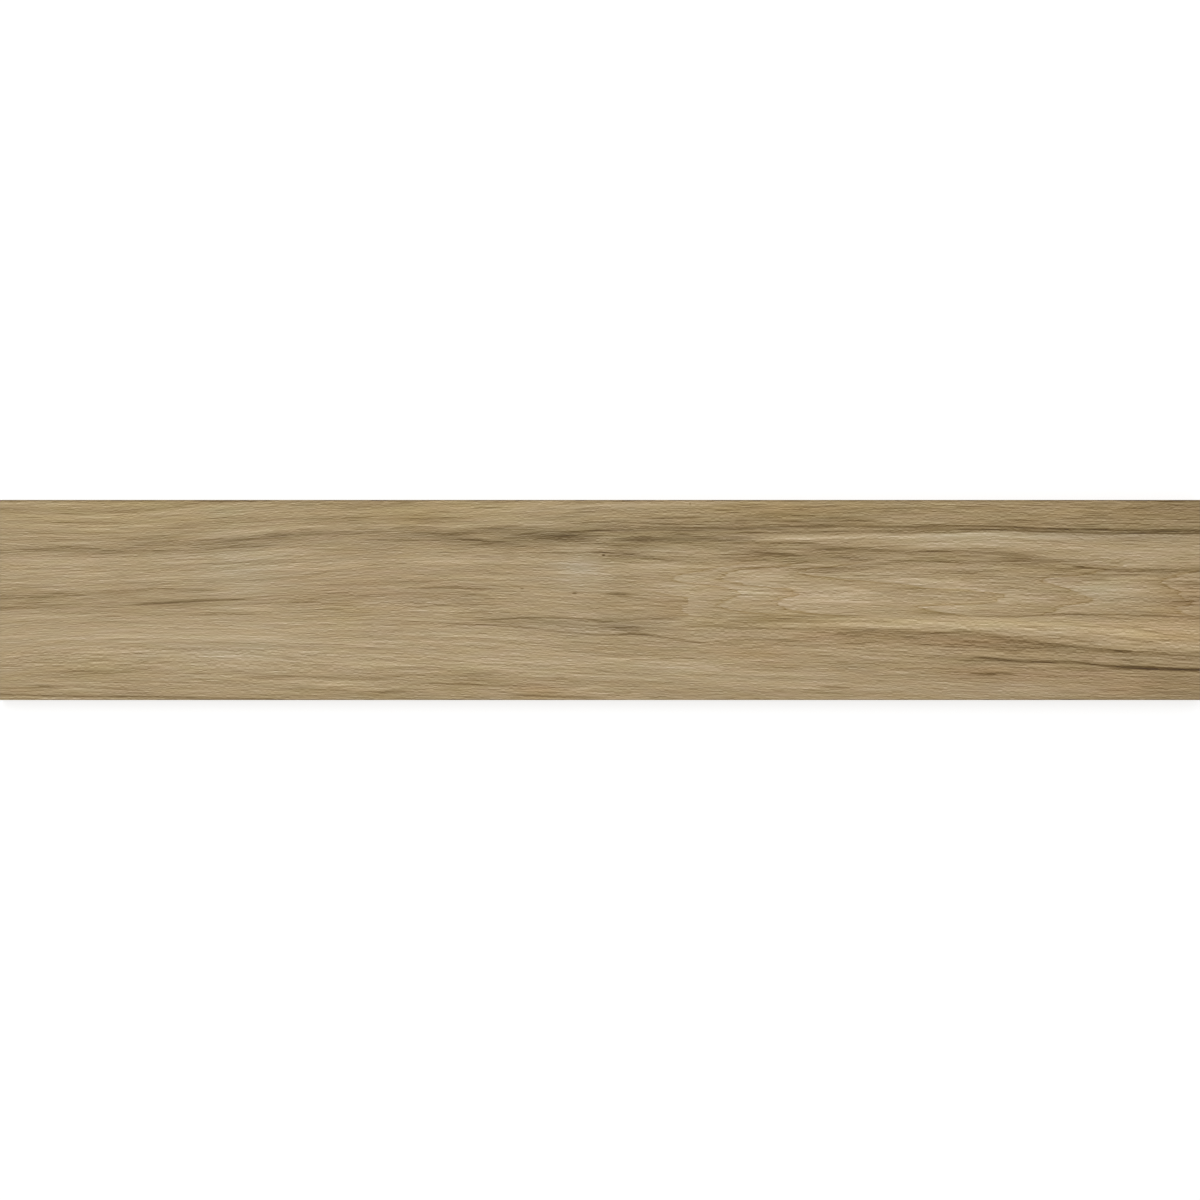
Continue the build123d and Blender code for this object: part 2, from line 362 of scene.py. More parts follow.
# Brown streaks and thin brown lines
brown_streaks = [
    (9.0, -8, [(-80, 99), (0, 99), (60, 100), (115, 102)]),
    (2.5, -10, [(-60, 9), (60, 11), (110, 11), (150, 8.5), (200, 2), (240, -3)]),
    (3.0, -4, [(-60, 40), (60, 39), (110, 37), (150, 38), (200, 36)]),
    (2.5, -6, [(-60, 109.5), (0, 109), (40, 107.5), (80, 106)]),
    (1.4, -13, [(-60, 190), (20, 188), (75, 187)]),
    (1.2, -22, [(-60, 194), (0, 194.5), (60, 196), (130, 196.5), (200, 198), (300, 200)]),
    (0.8, -3, [(-40, 51), (0, 50.5), (30, 50), (65, 50.5)]),
    (1.4, -6, [(-40, 110.5), (0, 109), (20, 107), (60, 105.5), (78, 105)]),
    (5.0, -6, [(30, 170), (80, 171), (135, 174)]),
    (1.8, -9, [(40, 21), (80, 23), (110, 24), (140, 24)]),
    (0.8, -12, [(40, 47.8), (75, 47), (108, 48.5)]),
    (0.8, -13, [(58, 53.5), (95, 54), (130, 52.5)]),
    (0.9, -14, [(84, 50.8), (105, 51.5), (136, 51)]),
    (1.5, -14, [(92, 91.5), (135, 90.5), (160, 88.5), (200, 90), (230, 90)]),
    (1.0, -6, [(115, 157.5), (150, 157), (185, 157)]),
    (0.9, -18, [(135, 50.3), (190, 51), (210, 49.5), (225, 48), (258, 47), (280, 44.3)]),
    (2.5, -11, [(145, 33), (200, 24), (240, 20.5), (300, 18), (400, 17)]),
    (0.8, -12, [(178, 46.5), (205, 45), (230, 43.5), (262, 41)]),
    (1.5, -6, [(190, 64.5), (240, 62), (315, 58.5)]),
    (1.4, -6, [(190, 113), (230, 113), (270, 113.5)]),
    (0.8, -13, [(205, 43.5), (235, 41), (270, 38.3), (302, 36.3)]),
    (0.8, -7, [(225, 46.3), (255, 44.3), (288, 41)]),
    (1.2, -14, [(230, 177.5), (265, 177), (308, 175.5)]),
    (0.8, -7, [(255, 42.3), (282, 39.8), (312, 37.3)]),
    (1.4, -6, [(265, 111), (320, 110), (370, 108), (410, 106.5), (495, 106)]),
    (4.0, -8, [(275, 97.5), (350, 95.5), (420, 94), (495, 96)]),
    (1.3, -12, [(280, 188.5), (320, 189.5), (365, 191)]),
    (3.0, -8, [(290, 8), (350, 6), (400, 5), (440, 4)]),
    (1.2, -11, [(295, 177.5), (345, 178.5), (405, 180)]),
    (0.8, -12, [(300, 33.5), (330, 32.3), (365, 31)]),
    (2.0, -8, [(305, 86), (350, 85), (400, 81.5), (445, 81)]),
    (3.0, -11, [(360, 20), (400, 18), (440, 18.5), (490, 19)]),
    (1.3, -22, [(362, 193), (395, 191.5), (420, 191.5)]),
    (0.9, -7, [(390, 121.3), (425, 122), (465, 124)]),
    (1.2, -6, [(395, 81.5), (480, 80), (500, 80)]),
    (1.1, -20, [(410, 87), (455, 88), (505, 89.5)]),
    (1.2, -15, [(410, 183), (460, 184), (510, 186), (545, 186)]),
    (3.0, -13, [(425, 174), (480, 174), (535, 173)]),
    (0.8, -12, [(430, 38), (460, 38.3), (492, 40)]),
    (1.0, -24, [(436, 122.3), (455, 124), (480, 124.5), (510, 126), (540, 129.5), (560, 131.5),
                (580, 133.5), (600, 135), (615, 135), (630, 134), (645, 135), (675, 139), (700, 143),
                (755, 147)]),
    (1.0, -11, [(440, 39.5), (470, 40), (482, 41.5), (500, 43.5), (530, 47.3), (545, 50), (562, 52.5),
                (580, 52.8), (596, 52)]),
    (1.5, -9, [(460, 120.5), (510, 118.5), (560, 117.5), (600, 120), (630, 121.5)]),
    (0.9, -18, [(470, 29), (490, 28), (512, 30)]),
    (0.8, -13, [(470, 31.5), (495, 30.8), (528, 32)]),
    (0.8, -15, [(470, 120), (500, 119.2), (540, 118), (575, 118.5), (590, 119.5), (602, 121.8),
                (620, 121)]),
    (0.8, -16, [(500, 38), (525, 34), (540, 32), (558, 30.5)]),
    (2.0, -6, [(500, 188.5), (560, 188.5)]),
    (0.8, -7, [(505, 40), (535, 42), (572, 43.3)]),
    (1.4, -21, [(505, 195), (560, 196.5), (615, 198.5)]),
    (0.8, -13, [(520, 37), (550, 39), (582, 40.5)]),
    (1.2, -5, [(525, 180), (600, 182.5), (655, 184)]),
    (1.2, -11, [(535, 149.5), (580, 152), (620, 154.5), (695, 156)]),
    (1.6, -12, [(545, 36), (562, 35.8), (584, 36)]),
    (1.2, -16, [(555, 92.5), (578, 93), (595, 93)]),
    (1.0, -9, [(555, 142), (610, 144), (625, 144.5)]),
    (0.8, -18, [(560, 25.5), (585, 23), (605, 21.7), (630, 22.8), (660, 24), (705, 24.3)]),
    (0.9, -21, [(566, 32.5), (590, 30.5), (600, 30), (618, 28.8)]),
    (0.9, -18, [(570, 36.8), (585, 39.5), (604, 42.8)]),
    (1.5, -3, [(580, 22), (640, 24), (660, 23), (720, 21), (870, 20)]),
    (0.9, -26, [(586, 50.3), (600, 52), (616, 54)]),
    (0.8, -14, [(588, 120.3), (605, 122), (620, 121)]),
    (1.6, -34, [(598, 93.5), (618, 94), (640, 95.5)]),
    (1.0, -6, [(598, 127.5), (625, 129), (655, 131)]),
    (1.1, -10, [(600, 40.5), (630, 40), (645, 40), (668, 40)]),
    (0.9, -17, [(600, 121), (640, 119), (695, 117)]),
    (0.8, -14, [(605, 55), (640, 57.5), (665, 60.5), (695, 62)]),
    (0.8, -5, [(605, 125.5), (630, 127), (655, 129)]),
    (0.8, -10, [(612, 131.5), (636, 132.3), (662, 133.8)]),
    (0.9, -18, [(625, 28.3), (660, 28), (700, 28), (740, 27.5), (790, 27)]),
    (1.0, -30, [(635, 19), (680, 18), (715, 17)]),
    (1.3, -13, [(665, 126), (715, 126), (745, 128), (810, 128.3)]),
    (3.0, -9, [(690, 7), (740, 6), (790, 6)]),
    (1.5, -7, [(690, 33.5), (760, 33), (820, 32), (910, 31)]),
    (5.0, -13, [(695, 57), (750, 54.5), (800, 56.5), (850, 57), (905, 58)]),
    (1.3, -12, [(710, 140.5), (760, 140), (815, 140.5)]),
    (0.9, -12, [(712, 33), (760, 32.8), (808, 32.3)]),
    (3.0, -4, [(715, 60), (760, 60), (815, 62)]),
    (1.2, -13, [(715, 122), (760, 121.5), (805, 121)]),
    (3.0, -13, [(720, 118), (765, 117.5), (810, 119), (835, 119)]),
    (3.5, -8, [(720, 153), (760, 153.5), (805, 157)]),
    (2.0, -16, [(725, 16), (760, 15.5), (830, 16)]),
    (3.0, -11, [(725, 165), (780, 166), (835, 167)]),
    (2.4, -14, [(730, 50.5), (765, 52.8), (790, 54.3), (815, 55)]),
    (1.2, -9, [(735, 70.5), (770, 67), (800, 63), (830, 60)]),
    (2.0, -18, [(740, 42), (790, 43), (820, 44.5), (850, 46)]),
    (1.0, -26, [(742, 51), (765, 52.8), (790, 54.3), (806, 55.3)]),
    (12.0, -9, [(760, 14), (900, 13), (1060, 13), (1260, 14)]),
    (0.9, -28, [(780, 26.5), (815, 25.8), (850, 25)]),
    (2.2, -20, [(780, 129), (860, 129.5), (920, 132.5), (980, 134.5), (1020, 140), (1060, 146), (1110, 151),
                (1160, 154), (1260, 156)]),
    (1.8, -20, [(790, 51.5), (835, 49.5), (880, 51), (930, 53)]),
    (2.0, -11, [(790, 116), (840, 116), (885, 116)]),
    (2.0, -24, [(795, 67.5), (840, 68.5), (895, 67)]),
    (7.0, -14, [(800, 136), (900, 138), (960, 144), (1040, 147), (1105, 152)]),
    (3.0, -5, [(810, 12), (860, 11), (900, 8), (960, 6.5)]),
    (1.5, -8, [(810, 71.5), (855, 71)]),
    (1.2, -21, [(810, 187), (835, 187.5), (860, 188)]),
    (1.3, -27, [(850, 26), (910, 26.8), (945, 25.2), (985, 26.2), (1010, 27), (1040, 28.8), (1090, 29.8),
                (1150, 30.4), (1260, 31.4)]),
    (2.0, -18, [(860, 63.5), (905, 61.5), (945, 61.5), (990, 62), (1020, 61), (1060, 62), (1105, 64)]),
    (0.9, -14, [(870, 33), (925, 32.5), (960, 32), (990, 31)]),
    (6.0, -5, [(890, 58), (960, 58), (1050, 62)]),
    (1.6, -13, [(895, 53), (960, 51), (1000, 53), (1040, 56)]),
    (1.0, -20, [(905, 112), (950, 114), (985, 116), (1025, 116), (1060, 114.5), (1105, 114.5), (1160, 116),
                (1260, 118.5)]),
    (2.2, -15, [(915, 171), (960, 173), (990, 174), (1040, 173)]),
    (1.0, -17, [(925, 61.3), (937, 61), (952, 61.5)]),
    (0.9, -34, [(940, 29.8), (985, 29.5), (1000, 30), (1030, 31.4), (1060, 32.2), (1100, 33.2),
                (1150, 33.6), (1260, 33.3)]),
    (1.5, -2, [(950, 6), (990, 8), (1020, 8)]),
    (1.2, -6, [(968, 173), (985, 174), (1006, 173.5)]),
    (1.6, -17, [(985, 54.5), (1020, 56), (1055, 57)]),
    (2.0, -8, [(990, 21), (1040, 21), (1070, 22)]),
    (1.0, -18, [(998, 61.5), (1018, 61), (1036, 61.5)]),
    (0.8, -10, [(1015, 127), (1030, 128.5), (1065, 131)]),
    (2.0, -21, [(1020, 68), (1060, 69), (1085, 67.5), (1115, 69.5), (1150, 70), (1260, 70.5)]),
    (2.0, -13, [(1045, 168), (1080, 169), (1125, 170)]),
    (5.0, -8, [(1050, 160), (1130, 161), (1260, 162)]),
    (0.8, -12, [(1060, 134), (1102, 134), (1122, 139), (1150, 142), (1180, 149)]),
    (2.0, -16, [(1065, 78.5), (1105, 77.5), (1150, 74)]),
    (5.0, -9, [(1070, 17), (1150, 16), (1260, 16)]),
    (1.3, -8, [(1080, 147), (1105, 150.5), (1125, 152.5), (1160, 154.5), (1260, 156)]),
    (2.0, -6, [(1085, 189), (1120, 190), (1155, 191)]),
    (3.0, -4, [(1090, 6), (1150, 5), (1260, 6)]),
    (0.8, -20, [(1104, 164.6), (1120, 165.6), (1140, 166.3), (1168, 167.4)]),
    (0.8, -10, [(1120, 127), (1140, 130), (1170, 135), (1230, 137)]),
    (1.2, -10, [(1135, 183), (1160, 182), (1190, 184)]),
    (3.0, -6, [(1140, 181), (1200, 183), (1260, 184)]),
    (3.0, -16, [(1145, 83), (1180, 84.5), (1260, 83)]),
    (3.0, -9, [(1145, 104), (1180, 106), (1260, 104)]),
    (1.8, -11, [(1160, 97), (1200, 97), (1260, 97)]),
]

# Pale streaks
pale_streaks = [
    (5.0, 1, [(-60, 64), (60, 62), (125, 60)]),
    (2.5, 6, [(-60, 86), (30, 83.5), (80, 82), (130, 79), (200, 80), (250, 78.5), (310, 75)]),
    (3.0, 8, [(-60, 115), (50, 115), (125, 114)]),
    (4.0, 6, [(-60, 137), (80, 138), (200, 137), (325, 138)]),
    (2.5, 6, [(35, 154), (120, 152.5), (205, 154)]),
    (2.5, 6, [(40, 18.5), (120, 17.5), (180, 13), (240, 8), (315, 4)]),
    (2.0, 5, [(75, 30), (100, 30), (125, 30)]),
    (2.0, 14, [(115, 78.5), (180, 77), (230, 75), (275, 72.5)]),
    (3.0, 13, [(175, 157), (240, 158), (315, 160)]),
    (4.0, 14, [(185, 58), (240, 56), (300, 51.5), (345, 49.5)]),
    (11.0, 6, [(190, 93), (240, 91), (295, 88)]),
    (2.0, 5, [(195, 35), (250, 31), (300, 28.5), (400, 25), (445, 25)]),
    (3.0, 5, [(210, 108), (250, 107.5), (295, 108)]),
    (2.0, 6, [(285, 183), (340, 183.5), (395, 184)]),
    (2.5, 14, [(315, 164), (370, 164.5), (430, 165.5)]),
    (2.0, 6, [(330, 80), (365, 80), (400, 79)]),
    (2.0, 12, [(390, 110), (440, 110.5), (485, 111)]),
    (8.0, 4, [(430, 17), (500, 16), (560, 13)]),
    (3.0, 5, [(430, 42), (460, 42), (490, 43)]),
    (5.0, 10, [(430, 162), (500, 164), (560, 165), (615, 166)]),
    (2.0, 4, [(440, 136), (500, 139), (560, 143), (620, 147)]),
    (3.0, 6, [(525, 47), (575, 47), (615, 48)]),
    (11.0, 9, [(535, 70), (582, 71), (630, 72)]),
    (2.0, 4, [(540, 35), (580, 33), (640, 31.5), (690, 29.5)]),
    (3.0, 4, [(540, 80), (590, 81.5), (630, 83)]),
    (4.0, 8, [(620, 166), (690, 168), (760, 170)]),
    (3.5, 6, [(635, 50), (680, 50), (725, 49.5)]),
    (2.0, 5, [(640, 124), (675, 124.5), (715, 125)]),
    (4.0, 6, [(645, 79), (690, 78), (730, 78)]),
    (3.0, 5, [(680, 109), (730, 110), (780, 111)]),
    (2.0, 5, [(690, 174), (740, 176), (800, 178)]),
    (2.2, 15, [(715, 41), (750, 40.3), (800, 38.5), (860, 37), (900, 36.5), (960, 34.5), (1010, 33.5)]),
    (3.5, 9, [(730, 76), (770, 77), (815, 78)]),
    (2.5, 12, [(740, 126.5), (790, 125), (830, 124.5)]),
    (9.0, 9, [(770, 97), (840, 96), (910, 95)]),
    (3.0, 4, [(770, 184), (880, 184), (970, 186)]),
    (2.0, 9, [(780, 80), (815, 79.5), (850, 78)]),
    (3.0, 4, [(785, 152), (840, 154.5), (895, 157)]),
    (2.2, 9, [(800, 90), (850, 90.5), (920, 89.5)]),
    (3.0, 9, [(845, 79.5), (895, 77.5), (940, 78)]),
    (6.0, 9, [(880, 43), (950, 42), (1010, 42), (1070, 44)]),
    (3.0, 6, [(915, 88.5), (965, 87), (990, 87)]),
    (2.0, 6, [(930, 31), (980, 31.5), (1030, 33.5)]),
    (2.5, 13, [(935, 35), (1000, 34.5), (1060, 37.5), (1110, 39)]),
    (2.5, 6, [(960, 72.5), (1010, 74), (1070, 73.5)]),
    (6.0, 6, [(965, 99), (1015, 99.5), (1065, 101)]),
    (3.0, 4, [(985, 191), (1060, 190), (1105, 190)]),
    (8.0, 6, [(1010, 48), (1100, 48), (1260, 49)]),
    (1.8, 5, [(1020, 121.5), (1050, 122), (1085, 124)]),
    (9.0, 8, [(1055, 91), (1115, 91), (1175, 93)]),
    (1.8, 6, [(1090, 157.5), (1115, 160), (1140, 162)]),
    (3.0, 5, [(1095, 8), (1130, 8), (1160, 9)]),
    (1.8, 10, [(1110, 79), (1140, 79.5), (1165, 79.5)]),
    (2.0, 8, [(1165, 61), (1200, 61), (1260, 61)]),
    (3.5, 8, [(1175, 104), (1205, 103), (1260, 102)]),
]

# Streaks the colour of honey
honey_streaks = [
    (5.0, 14, [(790, 124.5), (870, 124), (940, 122.5), (1010, 125), (1070, 128), (1130, 133), (1260, 141)]),
    (9.0, 7, [(960, 128), (1080, 132), (1260, 136)]),
]

# Checks, which are cracks along the grain. Their tone is painted shade, the dark inside each crack, and it
# also sets how deep the crack is cut
checks_with_painted_shade = [
    (1.0, -47, [(121, 105.2), (138, 104.5), (160, 103), (180, 102), (200, 101), (240, 99.2), (262, 98.6)]),
    (1.1, -62, [(962, 156.5), (985, 158), (1003, 160), (1025, 161.6), (1060, 162.3), (1085, 163.5),
                (1105, 165.6), (1125, 167.2), (1150, 168.3), (1175, 169.2), (1260, 170.5)]),
    (1.7, -44, [(1098, 165.8), (1125, 168), (1165, 169.4), (1260, 170.8)]),
]

# The cathedral figure, where growth rings are cut through: the (across, along) points of each ring line, from
# the left end to the right one
ring_lines = [
    [(50, 560), (70, 600), (90, 640), (94, 665), (97, 683), (100, 689), (103, 686), (107, 685), (111, 684),
     (115, 681), (118, 660), (126, 600)],
    [(50, 770), (64, 737), (66, 727), (68, 715), (71, 700), (73, 685), (75, 678), (78, 672), (80, 674),
     (82, 685), (84, 698), (86, 713), (88, 726), (90, 733), (93, 737), (96, 735), (99, 730), (101.5, 724),
     (104, 720), (107, 716), (109, 722), (111, 735), (113, 755), (115, 785), (117, 815), (126, 860)],
    [(50, 850), (60.5, 815), (62, 805), (64, 795), (66, 783), (68, 758), (70, 736), (72, 729), (75, 722),
     (78, 717), (80, 720), (82, 730), (84, 738), (86, 750), (87, 765), (88.5, 782), (90, 789), (92.5, 795),
     (95, 791), (98, 784), (100, 776), (102, 771), (104, 774), (107, 780), (110, 790), (112, 800),
     (114, 815), (116, 840), (126, 900)],
    [(50, 900), (64, 850), (70, 805), (74, 800), (76, 812), (77.5, 825), (79.5, 842), (81, 862), (83, 885),
     (85, 905), (87, 917), (88.5, 930), (89.5, 955), (91, 968), (93, 990), (96, 1004), (98.5, 1000),
     (101, 994), (103, 985), (104.3, 965), (104.8, 945), (106, 925), (107.5, 919), (109.5, 926),
     (111.5, 935), (113.5, 948), (126, 990)],
    [(50, 1130), (72, 1095), (76, 1070), (77.5, 1048), (79.5, 1038), (82, 1045), (85, 1053), (88, 1063),
     (91, 1072), (95, 1080), (98, 1086), (101, 1091), (103, 1082), (105, 1066), (107, 1058), (110, 1052),
     (113, 1047), (115, 1043), (126, 1040)],
    [(50, 1240), (70, 1200), (78, 1170), (82, 1158), (84, 1160), (87, 1168), (90, 1174), (94, 1178),
     (98, 1181), (101, 1190), (103, 1192), (105, 1184), (107, 1178), (110, 1175), (113, 1179), (115, 1186),
     (117, 1195), (126, 1230)],
]

# How long the first and the last ring are, how far the lines lie to the right of their points and waver, and
# where the figure starts and is full: from the left, from the rear and from the front
ring_span_outside = 150.0
ring_lag = 1.5
ring_waver = 6.0
ring_waver_length = 18.0
ring_waver_width = 0.9
cathedral_left = (620, 680)
cathedral_rear = (57, 68)
cathedral_front = (120, 112)

# Patches of another hue: along, across, half length, half width, redness and yellowness
hue_patches = [
    (20, 188, 60, 8, 0.0, 0.3),
    (90, 170, 46, 9, 0.0, 0.6),
    (100, 15, 140, 20, 0.1, 0.7),
    (165, 5, 55, 5, 0.0, 0.6),
    (224, 11, 26, 6, -0.7, 0.0),
    (232, 151, 66, 10, -0.7, -0.5),
    (240, 70, 46, 34, -0.7, -0.4),
    (340, 190, 80, 7, 0.0, 0.45),
    (345, 86, 90, 24, 0.4, 0.0),
    (348, 116, 24, 14, 0.0, 0.5),
    (400, 94, 36, 8, 0.0, -0.4),
    (408, 18, 18, 7, 0.5, 0.4),
    (430, 10, 120, 16, 0.1, 0.8),
    (460, 176, 30, 13, 0.0, 0.4),
    (534, 189, 28, 7, 0.9, 0.2),
    (545, 33, 75, 12, -0.6, -0.2),
    (560, 195, 45, 6, 0.4, 0.3),
    (580, 68, 26, 17, -0.9, -0.8),
    (600, 126, 75, 8, -0.5, -0.6),
    (650, 172, 80, 10, -0.3, 0.0),
    (660, 42, 55, 11, -0.6, 0.0),
    (666, 106, 20, 8, 0.6, 0.0),
    (752, 62, 22, 8, 0.5, 0.0),
    (756, 153, 34, 10, 0.9, 0.4),
    (765, 119, 55, 6, 0.0, 0.7),
    (770, 9, 60, 9, 0.6, 0.4),
    (792, 93, 12, 7, 0.8, 0.3),
    (800, 8, 130, 12, 0.0, 0.7),
    (835, 136, 60, 10, 0.7, 0.2),
    (900, 120, 200, 9, 0.0, 0.3),
    (960, 38, 45, 7, -0.6, 0.0),
    (970, 142, 60, 8, 0.9, 0.0),
    (975, 172, 45, 6, 0.6, 0.0),
    (1000, 130, 260, 70, 0.25, 0.15),
    (1004, 190, 44, 8, 0.0, -0.5),
    (1024, 88, 24, 12, -0.2, -0.4),
    (1060, 175, 80, 9, 0.8, 0.0),
    (1090, 12, 150, 13, 0.4, 0.55),
    (1100, 34, 120, 6, -0.7, -0.6),
    (1104, 90, 28, 9, -0.7, -0.2),
    (1118, 189, 30, 7, 1.0, 0.0),
    (1165, 182, 40, 7, 0.7, 0.0),
    (1180, 130, 80, 17, 1.0, 0.5),
    (1190, 95, 32, 20, 0.9, 0.3),
]

# Small marks on the face: along, across, half length, half width and tone in levels
pin_marks = [
    (603.5, 55.3, 8.0, 3.4, 10),
    (603.5, 55.2, 2.6, 1.2, -75),
    (574.5, 93.2, 3.4, 1.3, -50),
    (522.0, 88.6, 3.0, 1.3, -36),
    (605.5, 38.0, 9.0, 4.6, 13),
    (602.5, 38.2, 2.2, 0.9, -26),
    (607.0, 38.8, 2.2, 0.9, -26),
    (690.0, 4.2, 0.8, 2.6, -34),
]

# How strongly the streaks are drawn, over what length and share of theirs they fade out at the most, how wide
# their tips are, and how far they waver with the fibres
shade_gain = 1.2
streak_gain = 1.5
mineral_gain = 1.25
streak_taper = 60.0
taper_share = 0.45
tip_width = 0.5
streak_waver = 0.7
streak_waver_length = 60.0
streak_waver_width = 1.3

# Brown streaks up to this half width are lines: stronger and narrower, and shorter in their fade and waver
thin_half_width = 1.6
line_gain = 1.75
line_narrowing = 0.82
line_taper = 24.0
line_waver = 0.3

# The tone at which mineral and honey streaks have their full hue, that hue, and how deep all streaks go
full_mineral_tone = -26.0
mineral_redness = -0.25
mineral_yellowness = -0.6
full_honey_tone = 20.0
honey_yellowness = 0.35
streak_depth = 12.0 * mm

# Random numbers to a side of the lattice that noise is made from, which repeats after that many cells
lattice_side = 512


def smooth_line(points, at):
    """Places across of a smooth line through the points, at these places along."""
    along, across = np.array(points, float).T
    slopes = np.gradient(across, along)
    at = np.clip(at, along[0], along[-1])
    before = np.clip(np.searchsorted(along, at) - 1, 0, len(along) - 2)
    step = along[before + 1] - along[before]
    t = (at - along[before]) / step
    start = across[before] * (2 * t**3 - 3 * t**2 + 1) + slopes[before] * step * (t**3 - 2 * t**2 + t)
    stop = across[before + 1] * (3 * t**2 - 2 * t**3) + slopes[before + 1] * step * (t**3 - t**2)
    return start + stop


def smooth_step(share):
    """0 up to a share of 0, 1 from a share of 1 on, and smooth between them."""
    share = np.clip(share, 0, 1)
    return share * share * (3 - 2 * share)


def lattice_noise(across_cells, along_cells, seed):
    """Smooth noise from 0 to 1, one random number to each cell."""
    numbers = np.random.default_rng(seed).random((lattice_side, lattice_side))
    first_row = np.floor(across_cells).astype(int)
    column = np.floor(along_cells).astype(int)
    down = smooth_step(across_cells - first_row)
    right = smooth_step(along_cells - column)

    def along_row(row):
        here = numbers[row % lattice_side, column % lattice_side]
        beside = numbers[row % lattice_side, (column + 1) % lattice_side]
        return here * (1 - right) + beside * right

    return along_row(first_row) * (1 - down) + along_row(first_row + 1) * down


def grain_place(along, across):
    """The place across that the grain at each point comes from: fibres keep one place all along the plank."""
    lines = [smooth_line(points, along) for _, points in grain_guides]
    rests = [rest for rest, _ in grain_guides]
    place = np.full_like(along, rests[0])
    for low, high, low_rest, high_rest in zip(lines, lines[1:], rests, rests[1:]):
        place += (high_rest - low_rest) * np.clip((across - low) / (high - low), 0, 1)
    return place


def face_places(points):
    """Places of points along and across the face in millimetres, and across in the grain."""
    along = (points[:, 0] - plank_low.x) / mm
    across = (plank_high.y - points[:, 1]) / mm
    return along, across, grain_place(along, across)


def fibre_waver(along, place):
    """How far the fibres stray to the rear or to the front at each point, from -1 to 1."""
    return 2 * lattice_noise(place / streak_waver_width, along / streak_waver_length, seed=11) - 1


def paint(streaks, along, across, longest_taper=streak_taper, narrowing=1.0):
    """The summed tone of these streaks at each point."""
    tone = np.zeros_like(along)
    for half_width, strength, path in streaks:
        start, stop = path[0][0], path[-1][0]
        taper = min(longest_taper, taper_share * (stop - start))
        reach = smooth_step(np.minimum(along - start, stop - along) / taper)
        spread = narrowing * half_width * (tip_width + (1 - tip_width) * reach)
        gap = (across - smooth_line(path, along)) / spread
        tone += strength * reach * np.exp(-gap * gap)
    return tone


def tint(along, across):
    """How much redder and how much yellower the wood is at each point than others of its tone."""
    redness = np.zeros_like(along)
    yellowness = np.zeros_like(along)
    for middle, centre, half_length, half_width, red, yellow in hue_patches:
        reach = np.exp(-((along - middle) / half_length) ** 2 - ((across - centre) / half_width) ** 2)
        redness += red * reach
        yellowness += yellow * reach
    return redness, yellowness


def count_rings(along, across):
    """How many ring lines lie to the left of each point, with the share of the way to the next one,
    and how many millimetres one ring measures there, square to its lines."""
    def slope_of(points):
        return smooth_line(points, across + 0.5) - smooth_line(points, across - 0.5)

    lines = [smooth_line(points, across) for points in ring_lines]
    slopes = [slope_of(points) for points in ring_lines]
    lines = [lines[0] - ring_span_outside] + lines + [lines[-1] + ring_span_outside]
    slopes = [slopes[0]] + slopes + [slopes[-1]]
    rings = np.minimum((along - lines[0]) / (lines[1] - lines[0]), 1)
    reach = (lines[1] - lines[0]) / np.hypot(1, slopes[0])
    for n in range(1, len(lines) - 1):
        span = lines[n + 1] - lines[n]
        share = (along - lines[n]) / span
        rings += np.clip(share, 0, 1)
        slope = slopes[n] + (slopes[n + 1] - slopes[n]) * np.clip(share, 0, 1)
        reach = np.where(share > 0, span / np.hypot(1, slope), reach)
    return rings, reach


def figure_of(points):
    """What the wood is like at each point of the plank, as the named values that its materials read."""
    along, across, place = face_places(points)
    depth = plank_high.z - points[:, 2]
    fade = np.clip(1 - depth / streak_depth, 0, 1)
    waver = fibre_waver(along, place)
    wavered = across + streak_waver * waver
    lined = across + line_waver * waver

    # Tone of the streaks and of the lines, with the painted shade inside the checks among the lines
    mineral = mineral_gain * paint(mineral_streaks, along, wavered)
    honey = streak_gain * paint(honey_streaks, along, wavered)
    thin_browns = [streak for streak in brown_streaks if streak[0] <= thin_half_width]
    wide_browns = [streak for streak in brown_streaks if streak[0] > thin_half_width]
    tone = mineral + honey + streak_gain * paint(wide_browns + pale_streaks, along, wavered)
    tone += shade_gain * paint(soft_shades, along, wavered)
    lines = paint(checks_with_painted_shade, along, lined, line_taper)
    lines += line_gain * paint(thin_browns, along, lined, line_taper, line_narrowing)

    # Hue
    mineral_share = np.clip(mineral / full_mineral_tone, 0, 1)
    honey_share = np.clip(honey / full_honey_tone, 0, 1)
    redness, yellowness = tint(along, across)
    redness += mineral_redness * mineral_share
    yellowness += mineral_yellowness * mineral_share + honey_yellowness * honey_share

    # Ring lines, and where they show
    ring_shift = 2 * lattice_noise(place / ring_waver_width, along / ring_waver_length, seed=53) - 1
    rings, ring_reach = count_rings(along - ring_lag + ring_waver * ring_shift, across)
    cathedral = np.ones_like(along)
    limits = [(along, cathedral_left), (across, cathedral_rear), (across, cathedral_front)]
    for where, (start, full) in limits:
        cathedral *= smooth_step((where - start) / (full - start))

    return {
        "grain": np.column_stack([along * mm, place * mm, depth]),
        "line_and_crack_shade_tone": lines / tone_levels * fade,
        "streak_tone": tone / tone_levels * fade,
        "redness": redness * fade,
        "yellowness": yellowness * fade,
        "cathedral": cathedral * fade,
        "ring": rings,
        "ring_reach": ring_reach,
    }


def face_relief(points):
    """How far the brushed face lies below the planed surface at each point."""
    along, across, place = face_places(points)
    ridges = lattice_noise(place / ridge_width, points[:, 0] / mm / ridge_length, seed=37)
    pores = lattice_noise(place / pore_width, along / pore_length, seed=23)
    hollow = smooth_step((pores - pore_start) / pore_fade)
    checks = paint(checks_with_painted_shade, along, across + line_waver * fibre_waver(along, place), line_taper)
    crack = np.clip(checks / full_check_shade_tone, 0, 1)
    return fibre_relief * ridges + pore_relief * hollow + check_relief * crack


